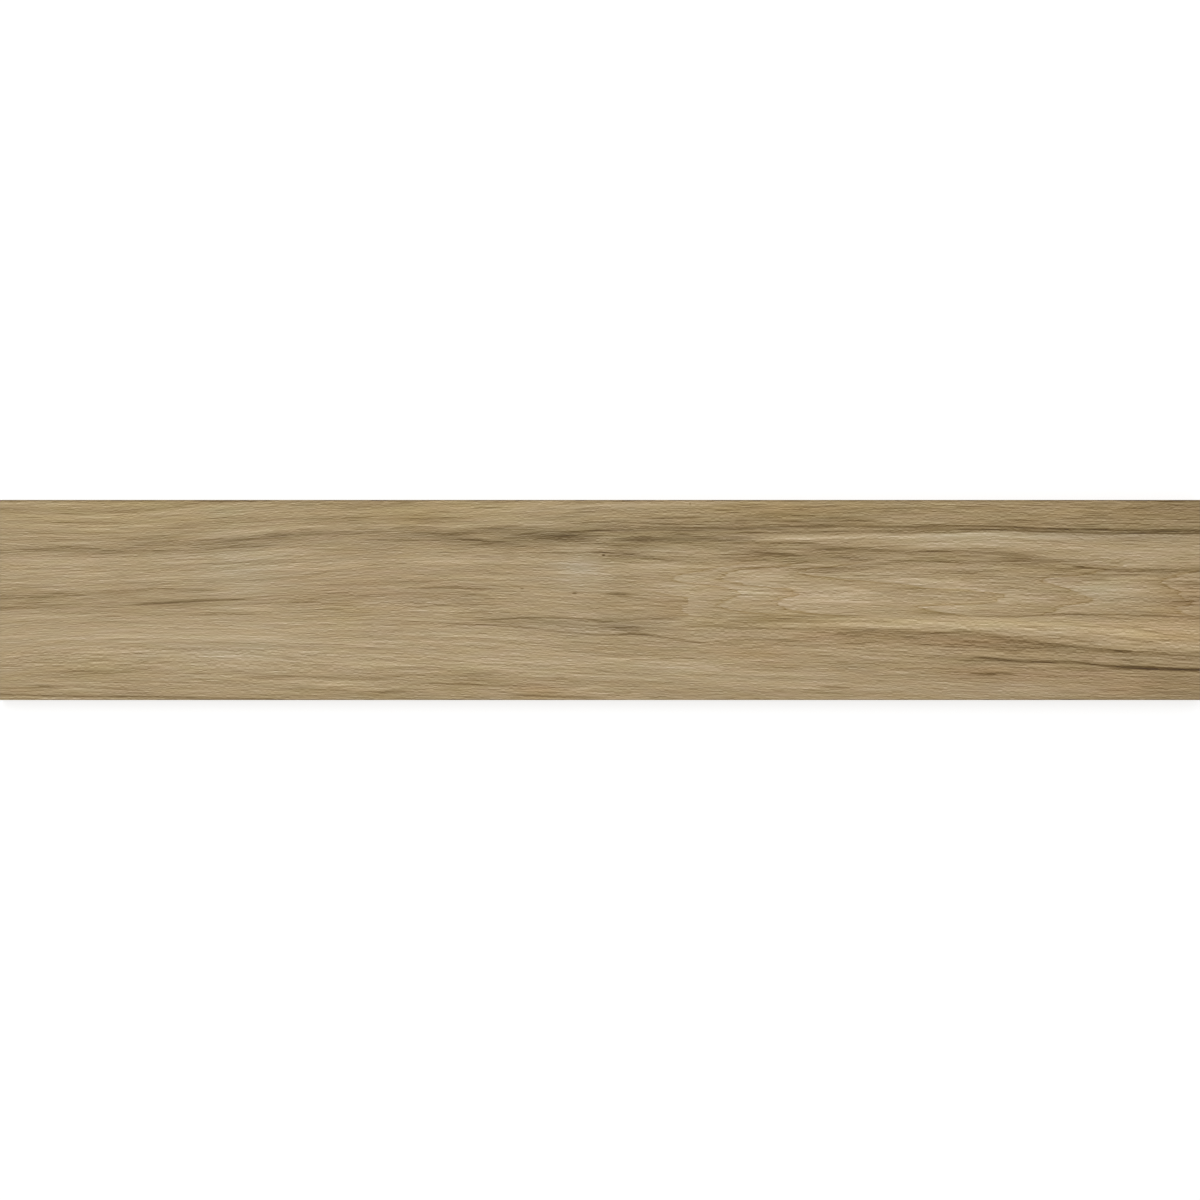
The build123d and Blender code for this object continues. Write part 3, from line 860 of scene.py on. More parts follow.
def stations(low, high, step):
    """Evenly spaced places from bevel to bevel, with one more at each outer edge."""
    count = round((high - low - 2 * bevel) / step)
    return np.concatenate([[low], np.linspace(low + bevel, high - bevel, count + 1), [high]])


def face_points(xs, ys):
    """Points of the face, with its relief and the bevel round it, and which of them lie on its rim."""
    face_x, face_y = np.meshgrid(xs, ys, indexing="ij")
    points = np.column_stack([face_x.ravel(), face_y.ravel(), np.full(face_x.size, plank_high.z)])
    on_rim = np.zeros(face_x.shape, bool)
    on_rim[[0, -1], :] = True
    on_rim[:, [0, -1]] = True
    on_rim = on_rim.ravel()
    points[:, 2] -= face_relief(points) + bevel * on_rim
    return points, on_rim


def groove_profile(centre):
    """(across, up) points of one relief groove, from mouth to mouth, with rounded corners at its floor."""
    lean = groove_depth / math.tan(groove_side_angle)
    floor_half = groove_mouth / 2 - lean
    tangent = groove_corner_radius / math.tan((math.pi - groove_side_angle) / 2)
    corner_across = floor_half - tangent
    corner_up = groove_depth - groove_corner_radius
    right = []
    for step in range(groove_corner_steps + 1):
        turn = math.pi / 2 - groove_side_angle * step / groove_corner_steps
        right.append((corner_across + groove_corner_radius * math.cos(turn),
                      corner_up + groove_corner_radius * math.sin(turn)))
    right.append((groove_mouth / 2, 0.0))
    left = [(-across, up) for across, up in reversed(right)]
    return [(centre + across, up) for across, up in left + right]


def back_profile():
    """(across, up) points of the back, from the front edge to the rear one, with its grooves."""
    profile = [(plank_low.y, 0.0)]
    for n in range(groove_count):
        profile += groove_profile((n - (groove_count - 1) / 2) * groove_spacing)
    return profile + [(plank_high.y, 0.0)]


def sheet(grid):
    """Four-cornered faces between the points of a grid."""
    corners = [grid[:-1, :-1], grid[1:, :-1], grid[1:, 1:], grid[:-1, 1:]]
    return np.stack(corners, -1).reshape(-1, 4).tolist()


def end_wall(face_row, back_row, front_row, rear_row, nearest):
    """Upright strips of one end between the back's profile and the bevel, one to each step of the profile."""
    last = len(back_row) - 2
    strips = []
    for k in range(last + 1):
        strip = [back_row[k], back_row[k + 1]]
        if k == last:
            strip += reversed(rear_row[1:-1])
        strip += reversed(face_row[nearest[k]:nearest[k + 1] + 1])
        if k == 0:
            strip += front_row[1:-1]
        strips.append(strip)
    return strips


def build_plank():
    """The plank as one closed mesh, with its own material on the face, the back, the edges and the ends."""
    xs = stations(plank_low.x, plank_high.x, mesh_step_along)
    ys = stations(plank_low.y, plank_high.y, mesh_step_across)
    profile = back_profile()
    top, on_rim = face_points(xs, ys)
    below = np.array([(x, y, plank_low.z + up) for x in xs for y, up in profile])
    face = np.arange(len(top)).reshape(len(xs), len(ys))
    back = len(top) + np.arange(len(below)).reshape(len(xs), len(profile))
    points = [top, below]

    # Rows between the bevel and the back on the front edge and on the rear one
    row_shares = np.linspace(1, 0, edge_rows + 1)[1:-1]
    edges = []
    for column, y in ((0, plank_low.y), (-1, plank_high.y)):
        start = sum(len(part) for part in points)
        heights = top[face[:, column], 2] - plank_low.z
        rows = [(x, y, plank_low.z + up * share) for x, up in zip(xs, heights) for share in row_shares]
        points.append(np.array(rows))
        between = start + np.arange(len(rows)).reshape(len(xs), len(row_shares))
        edges.append(np.column_stack([face[:, column], between, back[:, column]]))
    front, rear = edges

    # Faces of each side, wound so that they look outwards
    nearest = [int(np.abs(ys - y).argmin()) for y, _ in profile]
    ends = []
    for station in (0, -1):
        rows = [grid[station].tolist() for grid in (face, back, front, rear)]
        ends.append(end_wall(*rows, nearest))
    left_end = [strip[::-1] for strip in ends[0]]
    right_end = ends[1]
    sides = [
        (face_oiled(), sheet(face)),
        (back_planed(), sheet(back[:, ::-1])),
        (edge_planed(), sheet(front[:, ::-1]) + sheet(rear)),
        (end_sawn(), left_end + right_end),
    ]

    mesh = bpy.data.meshes.new("plank")
    points = np.concatenate(points)
    mesh.from_pydata(points.tolist(), [], [corners for _, faces in sides for corners in faces])
    slots = np.concatenate([np.full(len(faces), n) for n, (_, faces) in enumerate(sides)])
    mesh.polygons.foreach_set("material_index", slots.astype(np.int32))
    for material, _ in sides:
        mesh.materials.append(material)
    mesh.shade_smooth()
    mesh.set_sharp_from_angle(angle=sharp_angle)
    write_figure(mesh, points, on_rim)
    lay_out_bake_map(mesh, points)
    return bpy.data.objects.new("plank", mesh)


def write_figure(mesh, points, on_rim):
    """Writes the figure on the mesh, where the materials read it, with the bevel darker than the face."""
    figure = figure_of(points)
    figure["streak_tone"][:len(on_rim)] += bevel_tone * on_rim
    for name, values in figure.items():
        kind = "FLOAT_VECTOR" if values.ndim == 2 else "FLOAT"
        made = mesh.attributes.new(name, kind, "POINT")
        made.data.foreach_set("vector" if values.ndim == 2 else "value", values.astype(np.float32).ravel())


# Where each side of the plank lies on its bake map, as (left, bottom, right, top)
face_area = (0.002, 0.345, 0.998, 0.998)
back_area = (0.002, 0.150, 0.998, 0.338)
front_edge_area = (0.002, 0.112, 0.998, 0.143)
rear_edge_area = (0.002, 0.074, 0.998, 0.105)
left_end_area = (0.002, 0.004, 0.495, 0.066)
right_end_area = (0.505, 0.004, 0.998, 0.066)


def read_all(elements, name, kind, size=1):
    """One value, or several, of every element of a mesh, one after another."""
    values = np.empty(len(elements) * size, kind)
    elements.foreach_get(name, values)
    return values


def lay_out_bake_map(mesh, points):
    """A flat map of the plank: most of it is the face, so that the finest grain keeps its detail."""
    share = (points - np.array(plank_low)) / (np.array(plank_high) - np.array(plank_low))
    loops = read_all(mesh.loops, "vertex_index", np.int32)
    counts = read_all(mesh.polygons, "loop_total", np.int32)
    normals = np.repeat(read_all(mesh.polygons, "normal", np.float32, 3).reshape(-1, 3), counts, 0)
    slots = np.repeat(read_all(mesh.polygons, "material_index", np.int32), counts)
    on_face, on_back, on_edge, on_end = [slots == n for n in range(len(mesh.materials))]
    x, y, z = share[loops].T
    uv = np.zeros((len(loops), 2), np.float32)
    sides = [
        (on_face, face_area, x, y),
        (on_back, back_area, x, y),
        (on_edge & (normals[:, 1] < 0), front_edge_area, x, z),
        (on_edge & (normals[:, 1] > 0), rear_edge_area, x, z),
        (on_end & (normals[:, 0] < 0), left_end_area, y, z),
        (on_end & (normals[:, 0] > 0), right_end_area, y, z),
    ]
    for chosen, (left, bottom, right, top), u, v in sides:
        uv[chosen, 0] = left + (right - left) * u[chosen]
        uv[chosen, 1] = bottom + (top - bottom) * v[chosen]
    mesh.uv_layers.new(name="OFBake").data.foreach_set("uv", uv.ravel())


class Bench:
    """Places nodes in one node tree and joins them up."""

    def __init__(self, tree):
        self.tree = tree

    def node(self, kind, **settings):
        made = self.tree.nodes.new(kind)
        for name, value in settings.items():
            setattr(made, name, value)
        return made

    def feed(self, socket, value):
        if isinstance(value, bpy.types.NodeSocket):
            self.tree.links.new(value, socket)
        else:
            socket.default_value = value

    def math(self, operation, first, second=0.0):
        made = self.node("ShaderNodeMath", operation=operation)
        self.feed(made.inputs[0], first)
        self.feed(made.inputs[1], second)
        return made.outputs[0]

    def total(self, *values):
        summed = values[0]
        for value in values[1:]:
            summed = self.math("ADD", summed, value)
        return summed

    def times(self, first, second):
        return self.math("MULTIPLY", first, second)

    def less(self, first, second):
        return self.math("SUBTRACT", first, second)

    def over(self, first, second):
        return self.math("DIVIDE", first, second)

    def weighted(self, base, *layers):
        """The base plus each layer times its weight."""
        return self.total(base, *[self.times(layer, weight) for layer, weight in layers])

    def value_of(self, name):
        """A named value of the figure, as painted on the mesh."""
        return self.node("ShaderNodeAttribute", attribute_name=name).outputs["Fac"]

    def grain(self):
        """Along, across and depth in the grain, in metres."""
        read = self.node("ShaderNodeAttribute", attribute_name="grain")
        split = self.node("ShaderNodeSeparateXYZ")
        self.feed(split.inputs[0], read.outputs["Vector"])
        return split.outputs

    def vector(self, x, y, z):
        made = self.node("ShaderNodeCombineXYZ")
        for socket, value in zip(made.inputs, (x, y, z)):
            self.feed(socket, value)
        return made.outputs[0]

    def noise(self, place, detail=2.0, roughness=0.5):
        """Smooth noise about 0, one patch to each unit of place."""
        made = self.node("ShaderNodeTexNoise")
        self.feed(made.inputs["Vector"], place)
        self.feed(made.inputs["Scale"], 1.0)
        self.feed(made.inputs["Detail"], detail)
        self.feed(made.inputs["Roughness"], roughness)
        return self.less(made.outputs["Fac"], 0.5)

    def patches(self, place, counts):
        """Smooth noise about 0, with this many patches to a metre in each direction."""
        return self.noise(self.vector(*[self.times(part, count) for part, count in zip(place, counts)]))

    def chance(self, place):
        """A random number from 0 to 1 for each whole place."""
        made = self.node("ShaderNodeTexWhiteNoise", noise_dimensions="3D")
        self.feed(made.inputs["Vector"], place)
        return made.outputs["Value"]

    def smooth(self, value, low, high):
        """0 up to low, 1 from high on, and smooth between them."""
        made = self.node("ShaderNodeMapRange", interpolation_type="SMOOTHSTEP")
        self.feed(made.inputs["Value"], value)
        self.feed(made.inputs["From Min"], low)
        self.feed(made.inputs["From Max"], high)
        return made.outputs["Result"]

    def group(self, tree, **values):
        made = self.node("ShaderNodeGroup", node_tree=tree)
        for name, value in values.items():
            self.feed(made.inputs[name.replace("_", " ").title()], value)
        return made.outputs


def shader_group(name, inputs, outputs):
    """A new node group: its bench, the sockets that come in by name and the sockets that go out by name."""
    tree = bpy.data.node_groups.new(name, "ShaderNodeTree")
    for title, value in inputs:
        made = tree.interface.new_socket(title, in_out="INPUT", socket_type="NodeSocketFloat")
        made.default_value = value
    for title, kind in outputs:
        tree.interface.new_socket(title, in_out="OUTPUT", socket_type=kind)
    bench = Bench(tree)
    return bench, bench.node("NodeGroupInput").outputs, bench.node("NodeGroupOutput").inputs


def screen_colour(*levels):
    """A red, green and blue as seen on a screen, from 0 to 255, as the linear colour that shaders take."""
    linear = []
    for level in levels:
        share = level / tone_levels
        linear.append(share / 12.92 if share <= 0.04045 else ((share + 0.055) / 1.055) ** 2.4)
    return (*linear, 1.0)


# How far in lengths the rows of hairs start from one another, the share of a hair that fades at each end, and
# the chance from which a hair is a pore
hair_stagger = 9.0
hair_end_fade = 0.2
pore_chance = 0.90

# Patches of noise to a metre, along, across and in depth: what flutes and roughens growth rings and leads a
# cutter astray, and what makes rings wide or narrow, outwards
flute_patches = (4.0, 55.0, 20.0)
ragged_patches = (60.0, 260.0, 260.0)
wander_patches = (12.0, 12.0, 40.0)
uneven_patches = 90.0

# Colour of the wood by its tone, and what one unit of redness does to red and one of yellowness to blue
wood_colours = [
    (30, screen_colour(50, 29, 3)),
    (78, screen_colour(98, 76, 39)),
    (102, screen_colour(122, 101, 65)),
    (126, screen_colour(145, 124, 88)),
    (150, screen_colour(168, 147, 112)),
    (172, screen_colour(188, 168, 135)),
    (200, screen_colour(214, 196, 165)),
]
redness_gain = 0.055
yellowness_gain = -0.115


def make_fibres():
    """Long fibres of one length and width, about 0."""
    bench, given, made = shader_group(
        "Fibres",
        [("Length", 0.03), ("Width", 0.001), ("Shift", 0.0)],
        [("Fibre", "NodeSocketFloat")],
    )
    along, across, depth = bench.grain()
    place = bench.vector(
        bench.total(bench.over(along, given["Length"]), given["Shift"]),
        bench.total(bench.over(across, given["Width"]), given["Shift"]),
        bench.over(depth, given["Width"]),
    )
    bench.feed(made["Fibre"], bench.noise(place, detail=0.6, roughness=0.6))
    return bench.tree


def make_hairs():
    """Single hairs of wood laid side by side, and the dark pores between them.

    Each hair is pale along one side and dark along the other, and fades out at its ends.
    """
    bench, given, made = shader_group(
        "Hairs",
        [("Length", 0.02), ("Width", 0.001), ("Shift", 0.0), ("Darkness", 0.0)],
        [("Hair", "NodeSocketFloat"), ("Pore", "NodeSocketFloat")],
    )
    along, across, depth = bench.grain()
    sideways = bench.over(across, given["Width"])
    row = bench.math("FLOOR", sideways)
    layer = bench.total(bench.math("FLOOR", bench.over(depth, given["Width"])), given["Shift"])
    start = bench.times(bench.chance(bench.vector(row, layer, 0.5)), hair_stagger)
    lengthways = bench.total(bench.over(along, given["Length"]), start)
    tone = bench.chance(bench.vector(row, layer, bench.math("FLOOR", lengthways)))
    part = bench.math("FRACT", lengthways)
    fade_in = bench.smooth(part, 0.0, hair_end_fade)
    fade_out = bench.smooth(part, 1.0, 1.0 - hair_end_fade)
    ends = bench.times(fade_in, fade_out)
    side = bench.math("FRACT", sideways)
    body = bench.times(bench.times(side, bench.less(1.0, side)), 4.0)
    pair = bench.math("SINE", bench.times(side, 2 * math.pi))
    bench.feed(made["Hair"], bench.times(bench.less(tone, 0.5), bench.times(ends, pair)))
    filled = bench.smooth(bench.total(tone, given["Darkness"]), pore_chance, 1.0)
    bench.feed(made["Pore"], bench.times(filled, bench.times(ends, body)))
    return bench.tree


def make_flame_rings():
    """Ring lines of the cathedral figure: the wood darkens up to each thin line and starts pale after it."""
    bench, given, made = shader_group(
        "Flame Rings",
        [("Width Before", 2.0), ("Width After", 1.6), ("Shade", 0.52), ("Shade Power", 4.0),
         ("Glow", 0.52), ("Glow Power", 3.0)],
        [("Ring Tone", "NodeSocketFloat")],
    )
    share = bench.math("FRACT", bench.value_of("ring"))
    rest = bench.less(1.0, share)
    reach = bench.value_of("ring_reach")
    before = bench.less(1.0, bench.smooth(bench.times(rest, reach), 0.0, given["Width Before"]))
    after = bench.less(1.0, bench.smooth(bench.times(share, reach), 0.0, given["Width After"]))
    shade = bench.times(bench.math("POWER", share, given["Shade Power"]), given["Shade"])
    glow = bench.times(bench.math("POWER", rest, given["Glow Power"]), given["Glow"])
    tone = bench.less(bench.less(glow, shade), bench.math("MAXIMUM", before, after))
    bench.feed(made["Ring Tone"], bench.times(tone, bench.value_of("cathedral")))
    return bench.tree


def make_pin_mark():
    """One small round or long mark on the face: 1 at its core and 0 outside it."""
    bench, given, made = shader_group(
        "Pin Mark",
        [("Along", 0.0), ("Across", 0.0), ("Half Length", 0.002), ("Half Width", 0.001), ("Core", 0.3)],
        [("Mark", "NodeSocketFloat")],
    )
    place = bench.node("ShaderNodeSeparateXYZ")
    bench.feed(place.inputs[0], bench.node("ShaderNodeTexCoord").outputs["Object"])
    along = bench.less(bench.less(place.outputs[0], plank_low.x), given["Along"])
    across = bench.less(bench.less(plank_high.y, place.outputs[1]), given["Across"])
    along = bench.over(along, given["Half Length"])
    across = bench.over(across, given["Half Width"])
    away = bench.math("SQRT", bench.weighted(bench.times(along, along), (across, across)))
    bench.feed(made["Mark"], bench.less(1.0, bench.smooth(away, given["Core"], 1.0)))
    return bench.tree


def make_growth_rings():
    """Growth rings round a pith below the plank, tapering along it: dark porous lines that fade outwards."""
    bench, given, made = shader_group(
        "Growth Rings",
        [("Ring Width", 0.0032), ("Pith Across", 0.094), ("Pith Depth", 0.055), ("Taper", 0.024),
         ("Flute", 0.006), ("Raggedness", 0.0012), ("Unevenness", 2.5),
         ("Line Start", 0.02), ("Line End", 0.3), ("Line Edge", 0.04)],
        [("Porous Line", "NodeSocketFloat")],
    )
    along, across, depth = bench.grain()
    aside = bench.less(across, given["Pith Across"])
    below = bench.less(given["Pith Depth"], depth)
    radius = bench.math("SQRT", bench.weighted(bench.times(aside, aside), (below, below)))
    grown = bench.weighted(
        radius,
        (along, bench.times(given["Taper"], -1.0)),
        (bench.patches((along, across, depth), flute_patches), given["Flute"]),
        (bench.patches((along, across, depth), ragged_patches), given["Raggedness"]),
    )
    uneven = bench.noise(bench.vector(bench.times(grown, uneven_patches), 0.0, 0.0), detail=1.0)
    ring = bench.weighted(bench.over(grown, given["Ring Width"]), (uneven, given["Unevenness"]))
    share = bench.math("FRACT", ring)
    line = bench.less(1.0, bench.smooth(share, given["Line Start"], given["Line End"]))
    edge = bench.smooth(share, 0.0, given["Line Edge"])
    bench.feed(made["Porous Line"], bench.times(line, edge))
    return bench.tree


def make_wood_colour():
    """The wood's colour at each tone, made redder and yellower where the wood is."""
    bench, given, made = shader_group(
        "Wood Colour",
        [("Tone", 0.5), ("Redness", 0.0), ("Yellowness", 0.0)],
        [("Color", "NodeSocketColor")],
    )
    ramp = bench.node("ShaderNodeValToRGB")
    stops = ramp.color_ramp.elements
    while len(stops) < len(wood_colours):
        stops.new(1.0)
    for stop, (level, colour) in zip(stops, wood_colours):
        stop.position = level / tone_levels
        stop.color = colour
    bench.feed(ramp.inputs["Fac"], given["Tone"])
    parts = bench.node("ShaderNodeSeparateColor")
    bench.feed(parts.inputs[0], ramp.outputs["Color"])
    red, green, blue = parts.outputs
    mixed = bench.node("ShaderNodeCombineColor")
    more_red = bench.weighted(1.0, (given["Redness"], redness_gain))
    less_blue = bench.weighted(1.0, (given["Yellowness"], yellowness_gain))
    bench.feed(mixed.inputs[0], bench.times(red, more_red))
    bench.feed(mixed.inputs[1], green)
    bench.feed(mixed.inputs[2], bench.times(blue, less_blue))
    bench.feed(made["Color"], mixed.outputs[0])
    return bench.tree


def make_cutter_marks():
    """Even ripples that a planer's knives or a saw's teeth leave, along any mix of the three directions."""
    bench, given, made = shader_group(
        "Cutter Marks",
        [("Pitch", 0.006), ("Along", 1.0), ("Across", 0.0), ("Depth", 0.0), ("Waver", 6.0)],
        [("Ripple", "NodeSocketFloat")],
    )
    along, across, depth = bench.grain()
    run = bench.total(
        bench.times(along, given["Along"]),
        bench.times(across, given["Across"]),
        bench.times(depth, given["Depth"]),
    )
    turn = bench.over(bench.times(run, 2 * math.pi), given["Pitch"])
    wander = bench.patches((along, across, depth), wander_patches)
    bench.feed(made["Ripple"], bench.math("SINE", bench.weighted(turn, (wander, given["Waver"]))))
    return bench.tree


fibres = make_fibres()
hairs = make_hairs()
flame_rings = make_flame_rings()
pin_mark = make_pin_mark()
growth_rings = make_growth_rings()
wood_colour = make_wood_colour()
cutter_marks = make_cutter_marks()

# How much the wood shines, seen straight on
wood_shine = 0.3


def wood_material(name, bump_depth):
    """A new matt wood: its bench, the shader's sockets and the height that its relief is fed to."""
    material = bpy.data.materials.new(name)
    material.use_nodes = True
    bench = Bench(material.node_tree)
    shader = material.node_tree.nodes["Principled BSDF"]
    shader.inputs["Specular IOR Level"].default_value = wood_shine
    bump = bench.node("ShaderNodeBump")
    bump.inputs["Strength"].default_value = 1.0
    bump.inputs["Distance"].default_value = bump_depth
    bench.feed(shader.inputs["Normal"], bump.outputs["Normal"])
    return material, bench, shader.inputs, bump.inputs["Height"]


def face_oiled():
    """The face: oiled, with the whole figure."""
    material, bench, surface, height = wood_material("face_oiled", 0.03 * mm)
    streak = bench.value_of("streak_tone")
    # Thin brown lines of the grain, and the painted shade inside the checks
    line = bench.value_of("line_and_crack_shade_tone")
    pore_darkness = bench.times(streak, -1.6)
    speckle = bench.group(hairs, length=0.0042, width=0.0021, shift=21.0)["Hair"]
    fine_hair = bench.group(hairs, length=0.014, width=0.0019, shift=8.0)["Hair"]
    long_hair = bench.group(hairs, length=0.022, width=0.0026, shift=33.0)["Hair"]
    hair = bench.group(hairs, length=0.024, width=0.0033, shift=3.0)["Hair"]
    strand = bench.group(hairs, length=0.06, width=0.0064, shift=11.0)["Hair"]
    pore = bench.group(hairs, length=0.034, width=0.0008, shift=5.0, darkness=pore_darkness)["Pore"]
    dash = bench.group(hairs, length=0.014, width=0.0018, shift=47.0, darkness=0.02)["Pore"]
    thread = bench.group(fibres, length=0.17, width=0.0045, shift=17.0)["Fibre"]
    band = bench.group(fibres, length=0.45, width=0.010, shift=41.0)["Fibre"]
    ring = bench.group(flame_rings)["Ring Tone"]
    tone = bench.weighted(
        face_tone,
        (speckle, 0.165),
        (fine_hair, 0.14),
        (long_hair, 0.118),
        (hair, 0.08),
        (strand, 0.04),
        (thread, 0.11),
        (band, 0.09),
        (streak, bench.weighted(0.8, (strand, 0.7), (hair, 0.5))),
        (line, bench.weighted(1.0, (hair, 0.5))),
        (dash, -0.055),
        (pore, -0.15),
        (ring, bench.weighted(0.066, (hair, 0.06))),
    )
    for along, across, half_length, half_width, mark_tone in pin_marks:
        mark = bench.group(
            pin_mark,
            along=along * mm,
            across=across * mm,
            half_length=half_length * mm,
            half_width=half_width * mm,
        )["Mark"]
        tone = bench.weighted(tone, (mark, mark_tone / tone_levels))
    red_fibre = bench.group(fibres, length=0.035, width=0.008, shift=61.0)["Fibre"]
    yellow_fibre = bench.group(fibres, length=0.04, width=0.008, shift=73.0)["Fibre"]
    redness = bench.weighted(bench.value_of("redness"), (red_fibre, 1.5), (ring, -0.35))
    yellowness = bench.weighted(bench.value_of("yellowness"), (yellow_fibre, 1.5), (ring, -0.7))
    colour = bench.group(wood_colour, tone=tone, redness=redness, yellowness=yellowness)["Color"]
    bench.feed(surface["Base Color"], colour)
    bench.feed(surface["Roughness"], bench.weighted(0.58, (hair, 0.3), (pore, 0.12)))
    bench.feed(height, bench.less(bench.total(fine_hair, long_hair), pore))
    return material


def edge_planed():
    """The long edges: planed and oiled, with the fibres and a planer's fine ripple."""
    material, bench, surface, height = wood_material("edge_planed", 0.15 * mm)
    hair = bench.group(fibres, length=0.014, width=0.0009, shift=5.0)["Fibre"]
    thread = bench.group(fibres, length=0.06, width=0.0022, shift=29.0)["Fibre"]
    rings = bench.group(growth_rings)["Porous Line"]
    ripple = bench.group(cutter_marks, pitch=0.004, waver=4.0)["Ripple"]
    tone = bench.weighted(edge_tone, (hair, 0.22), (thread, 0.18), (rings, -0.05))
    tone = bench.total(tone, bench.value_of("streak_tone"))
    redness = bench.value_of("redness")
    yellowness = bench.value_of("yellowness")
    colour = bench.group(wood_colour, tone=tone, redness=redness, yellowness=yellowness)["Color"]
    bench.feed(surface["Base Color"], colour)
    bench.feed(surface["Roughness"], bench.weighted(0.62, (hair, 0.3)))
    bench.feed(height, bench.weighted(hair, (ripple, 0.15)))
    return material


def end_sawn():
    """The ends: sawn across, so that rings show as arcs and pores as dots, darker where oil soaked in."""
    material, bench, surface, height = wood_material("end_sawn", 0.2 * mm)
    dots = bench.group(fibres, length=0.5, width=0.0007, shift=7.0)["Fibre"]
    blotch = bench.group(fibres, length=0.5, width=0.012, shift=13.0)["Fibre"]
    rings = bench.group(growth_rings)["Porous Line"]
    saw = bench.group(cutter_marks, pitch=0.0026, along=0.0, across=1.0, depth=0.35, waver=7.0)["Ripple"]
    tone = bench.weighted(end_tone, (dots, 0.3), (blotch, 0.2), (rings, -0.12), (saw, 0.008))
    tone = bench.total(tone, bench.value_of("streak_tone"))
    bench.feed(surface["Base Color"], bench.group(wood_colour, tone=tone)["Color"])
    bench.feed(surface["Roughness"], bench.weighted(0.78, (dots, 0.3)))
    bench.feed(height, bench.weighted(dots, (saw, 0.35)))
    return material


def back_planed():
    """The back: planed but left bare, paler and rougher, with the planer's broad ripple across it."""
    material, bench, surface, height = wood_material("back_planed", 0.25 * mm)
    hair = bench.group(fibres, length=0.014, width=0.0011, shift=9.0)["Fibre"]
    thread = bench.group(fibres, length=0.07, width=0.003, shift=31.0)["Fibre"]
    band = bench.group(fibres, length=0.3, width=0.012, shift=53.0)["Fibre"]
    rings = bench.group(growth_rings)["Porous Line"]
    ripple = bench.group(cutter_marks, pitch=0.008, waver=2.4)["Ripple"]
    tone = bench.weighted(
        back_tone,
        (hair, 0.2),
        (thread, 0.16),
        (band, 0.14),
        (rings, -0.03),
        (ripple, 0.006),
    )
    bench.feed(surface["Base Color"], bench.group(wood_colour, tone=tone, yellowness=-0.3)["Color"])
    bench.feed(surface["Roughness"], bench.weighted(0.75, (hair, 0.3)))
    bench.feed(height, bench.weighted(bench.times(hair, 0.8), (ripple, 0.3)))
    return material


# The studio: a white floor, an even white surround and a soft lamp to the rear left
white = (1.0, 1.0, 1.0, 1.0)
floor_size = 14.0
floor_drop = 0.0004
floor_grey = 0.40
floor_glow = 0.68
surround_light = 0.70
surround_white = 1.0
lamp_place = (-0.9, 1.2, 2.8)
lamp_size = 2.6
lamp_power = 40.0
camera_height = 5.0
camera_reach = 100.0
sensor_width = 36.0
frame_width = plank_high.x - plank_low.x - bevel


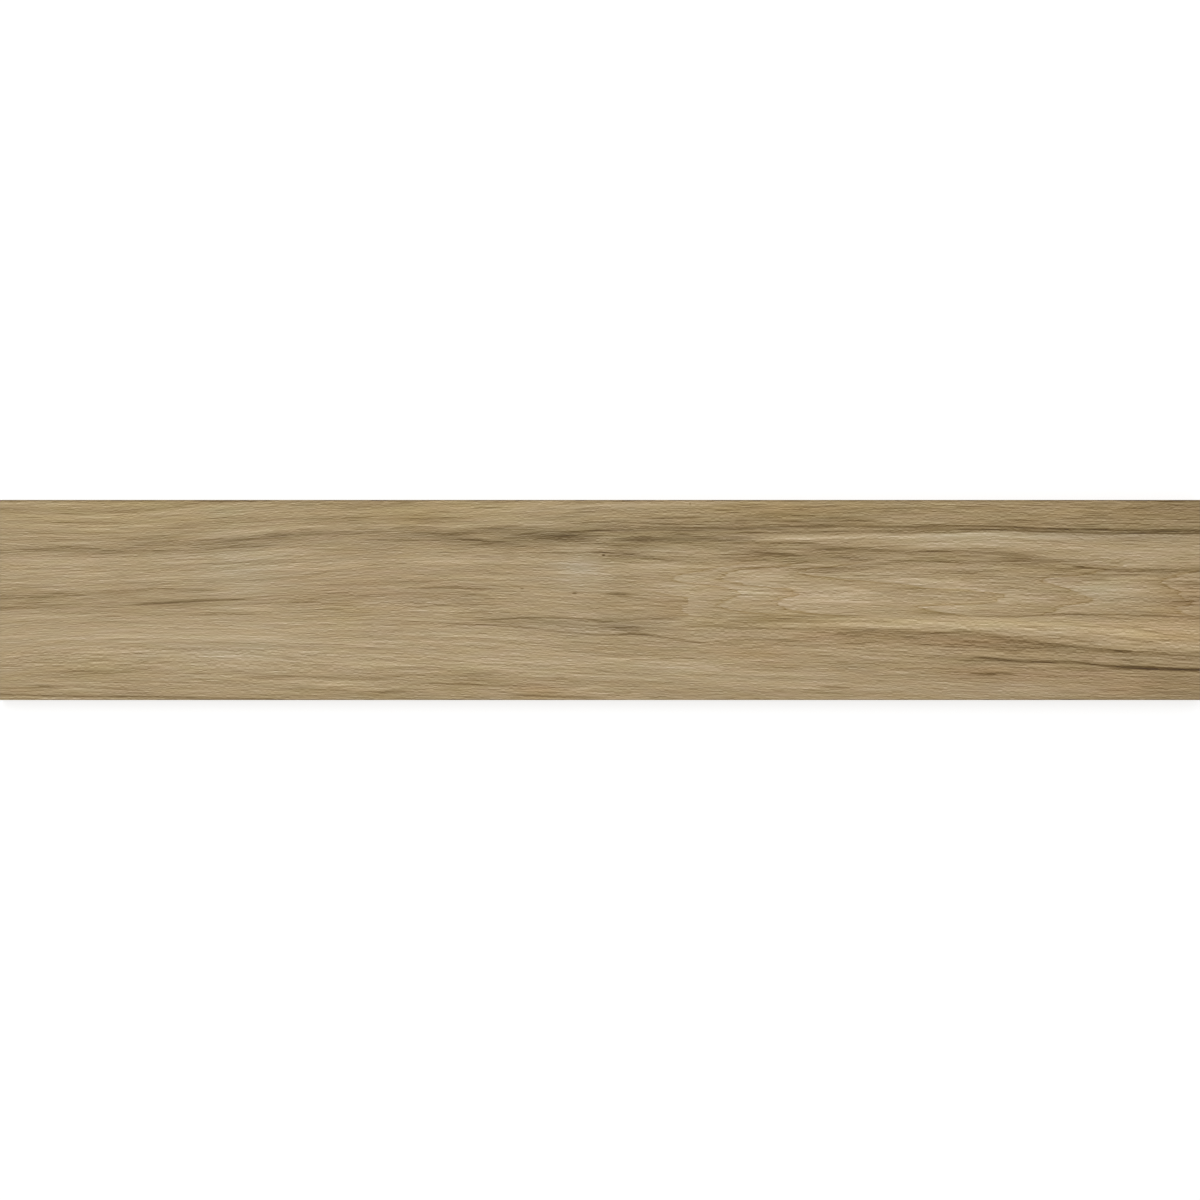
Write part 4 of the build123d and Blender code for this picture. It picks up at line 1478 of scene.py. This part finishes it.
def lay_floor():
    """A floor just below the plank: white with the plank's shadow on it, and clear from below."""
    mesh = bpy.data.meshes.new("floor")
    half = floor_size / 2
    corners = [(-half, -half), (half, -half), (half, half), (-half, half)]
    mesh.from_pydata([(x, y, plank_low.z - floor_drop) for x, y in corners], [], [(0, 1, 2, 3)])
    material = bpy.data.materials.new("white_floor")
    material.use_nodes = True
    bench = Bench(material.node_tree)
    bench.tree.nodes.remove(bench.tree.nodes["Principled BSDF"])
    matt = bench.node("ShaderNodeBsdfDiffuse")
    matt.inputs["Color"].default_value = (floor_grey, floor_grey, floor_grey, 1.0)
    glow = bench.node("ShaderNodeEmission")
    seen = bench.node("ShaderNodeLightPath").outputs
    bench.feed(glow.inputs["Strength"], bench.times(seen["Is Camera Ray"], floor_glow))
    lit = bench.node("ShaderNodeAddShader")
    bench.feed(lit.inputs[0], matt.outputs[0])
    bench.feed(lit.inputs[1], glow.outputs[0])
    clear = bench.node("ShaderNodeBsdfTransparent")
    one_sided = bench.node("ShaderNodeMixShader")
    bench.feed(one_sided.inputs[0], bench.node("ShaderNodeNewGeometry").outputs["Backfacing"])
    bench.feed(one_sided.inputs[1], lit.outputs[0])
    bench.feed(one_sided.inputs[2], clear.outputs[0])
    bench.feed(bench.tree.nodes["Material Output"].inputs["Surface"], one_sided.outputs[0])
    mesh.materials.append(material)
    floor = bpy.data.objects.new("floor", mesh)
    floor.visible_diffuse = False
    floor.visible_glossy = False
    floor.visible_shadow = False
    bpy.context.scene.collection.objects.link(floor)


def light_the_studio():
    """An even surround, plain white to the camera and in reflections, and one soft lamp."""
    world = bpy.data.worlds.new("studio")
    world.use_nodes = True
    bench = Bench(world.node_tree)
    light = bench.tree.nodes["Background"]
    light.inputs["Color"].default_value = white
    light.inputs["Strength"].default_value = surround_light
    backdrop = bench.node("ShaderNodeBackground")
    backdrop.inputs["Color"].default_value = white
    backdrop.inputs["Strength"].default_value = surround_white
    seen = bench.node("ShaderNodeLightPath").outputs
    shown = bench.math("MAXIMUM", seen["Is Camera Ray"], seen["Is Glossy Ray"])
    shown = bench.math("MAXIMUM", shown, seen["Is Transmission Ray"])
    mixed = bench.node("ShaderNodeMixShader")
    bench.feed(mixed.inputs[0], shown)
    bench.feed(mixed.inputs[1], light.outputs[0])
    bench.feed(mixed.inputs[2], backdrop.outputs[0])
    bench.feed(bench.tree.nodes["World Output"].inputs["Surface"], mixed.outputs[0])
    bpy.context.scene.world = world

    lamp = bpy.data.lights.new("soft_lamp", "AREA")
    lamp.shape = "SQUARE"
    lamp.size = lamp_size
    lamp.energy = lamp_power
    stand = bpy.data.objects.new("soft_lamp", lamp)
    stand.location = lamp_place
    aim = Vector((0.0, 0.0, 0.0)) - stand.location
    stand.rotation_euler = aim.to_track_quat("-Z", "Y").to_euler()
    stand.visible_camera = False
    bpy.context.scene.collection.objects.link(stand)


def set_camera():
    """Looks straight down on the middle of the face, which fills the frame from end to end."""
    camera = bpy.data.cameras.new("camera")
    camera.sensor_width = sensor_width
    camera.lens = sensor_width * camera_height / frame_width
    camera.clip_end = camera_reach
    stand = bpy.data.objects.new("camera", camera)
    middle = (plank_low + plank_high) / 2
    stand.location = (middle.x, middle.y, plank_high.z + camera_height)
    bpy.context.scene.collection.objects.link(stand)
    bpy.context.scene.camera = stand


plank = build_plank()
bpy.context.scene.collection.objects.link(plank)
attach(plank, "root")
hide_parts("floor_plank")

lay_floor()
light_the_studio()
set_camera()
bpy.context.scene.view_settings.view_transform = "Standard"
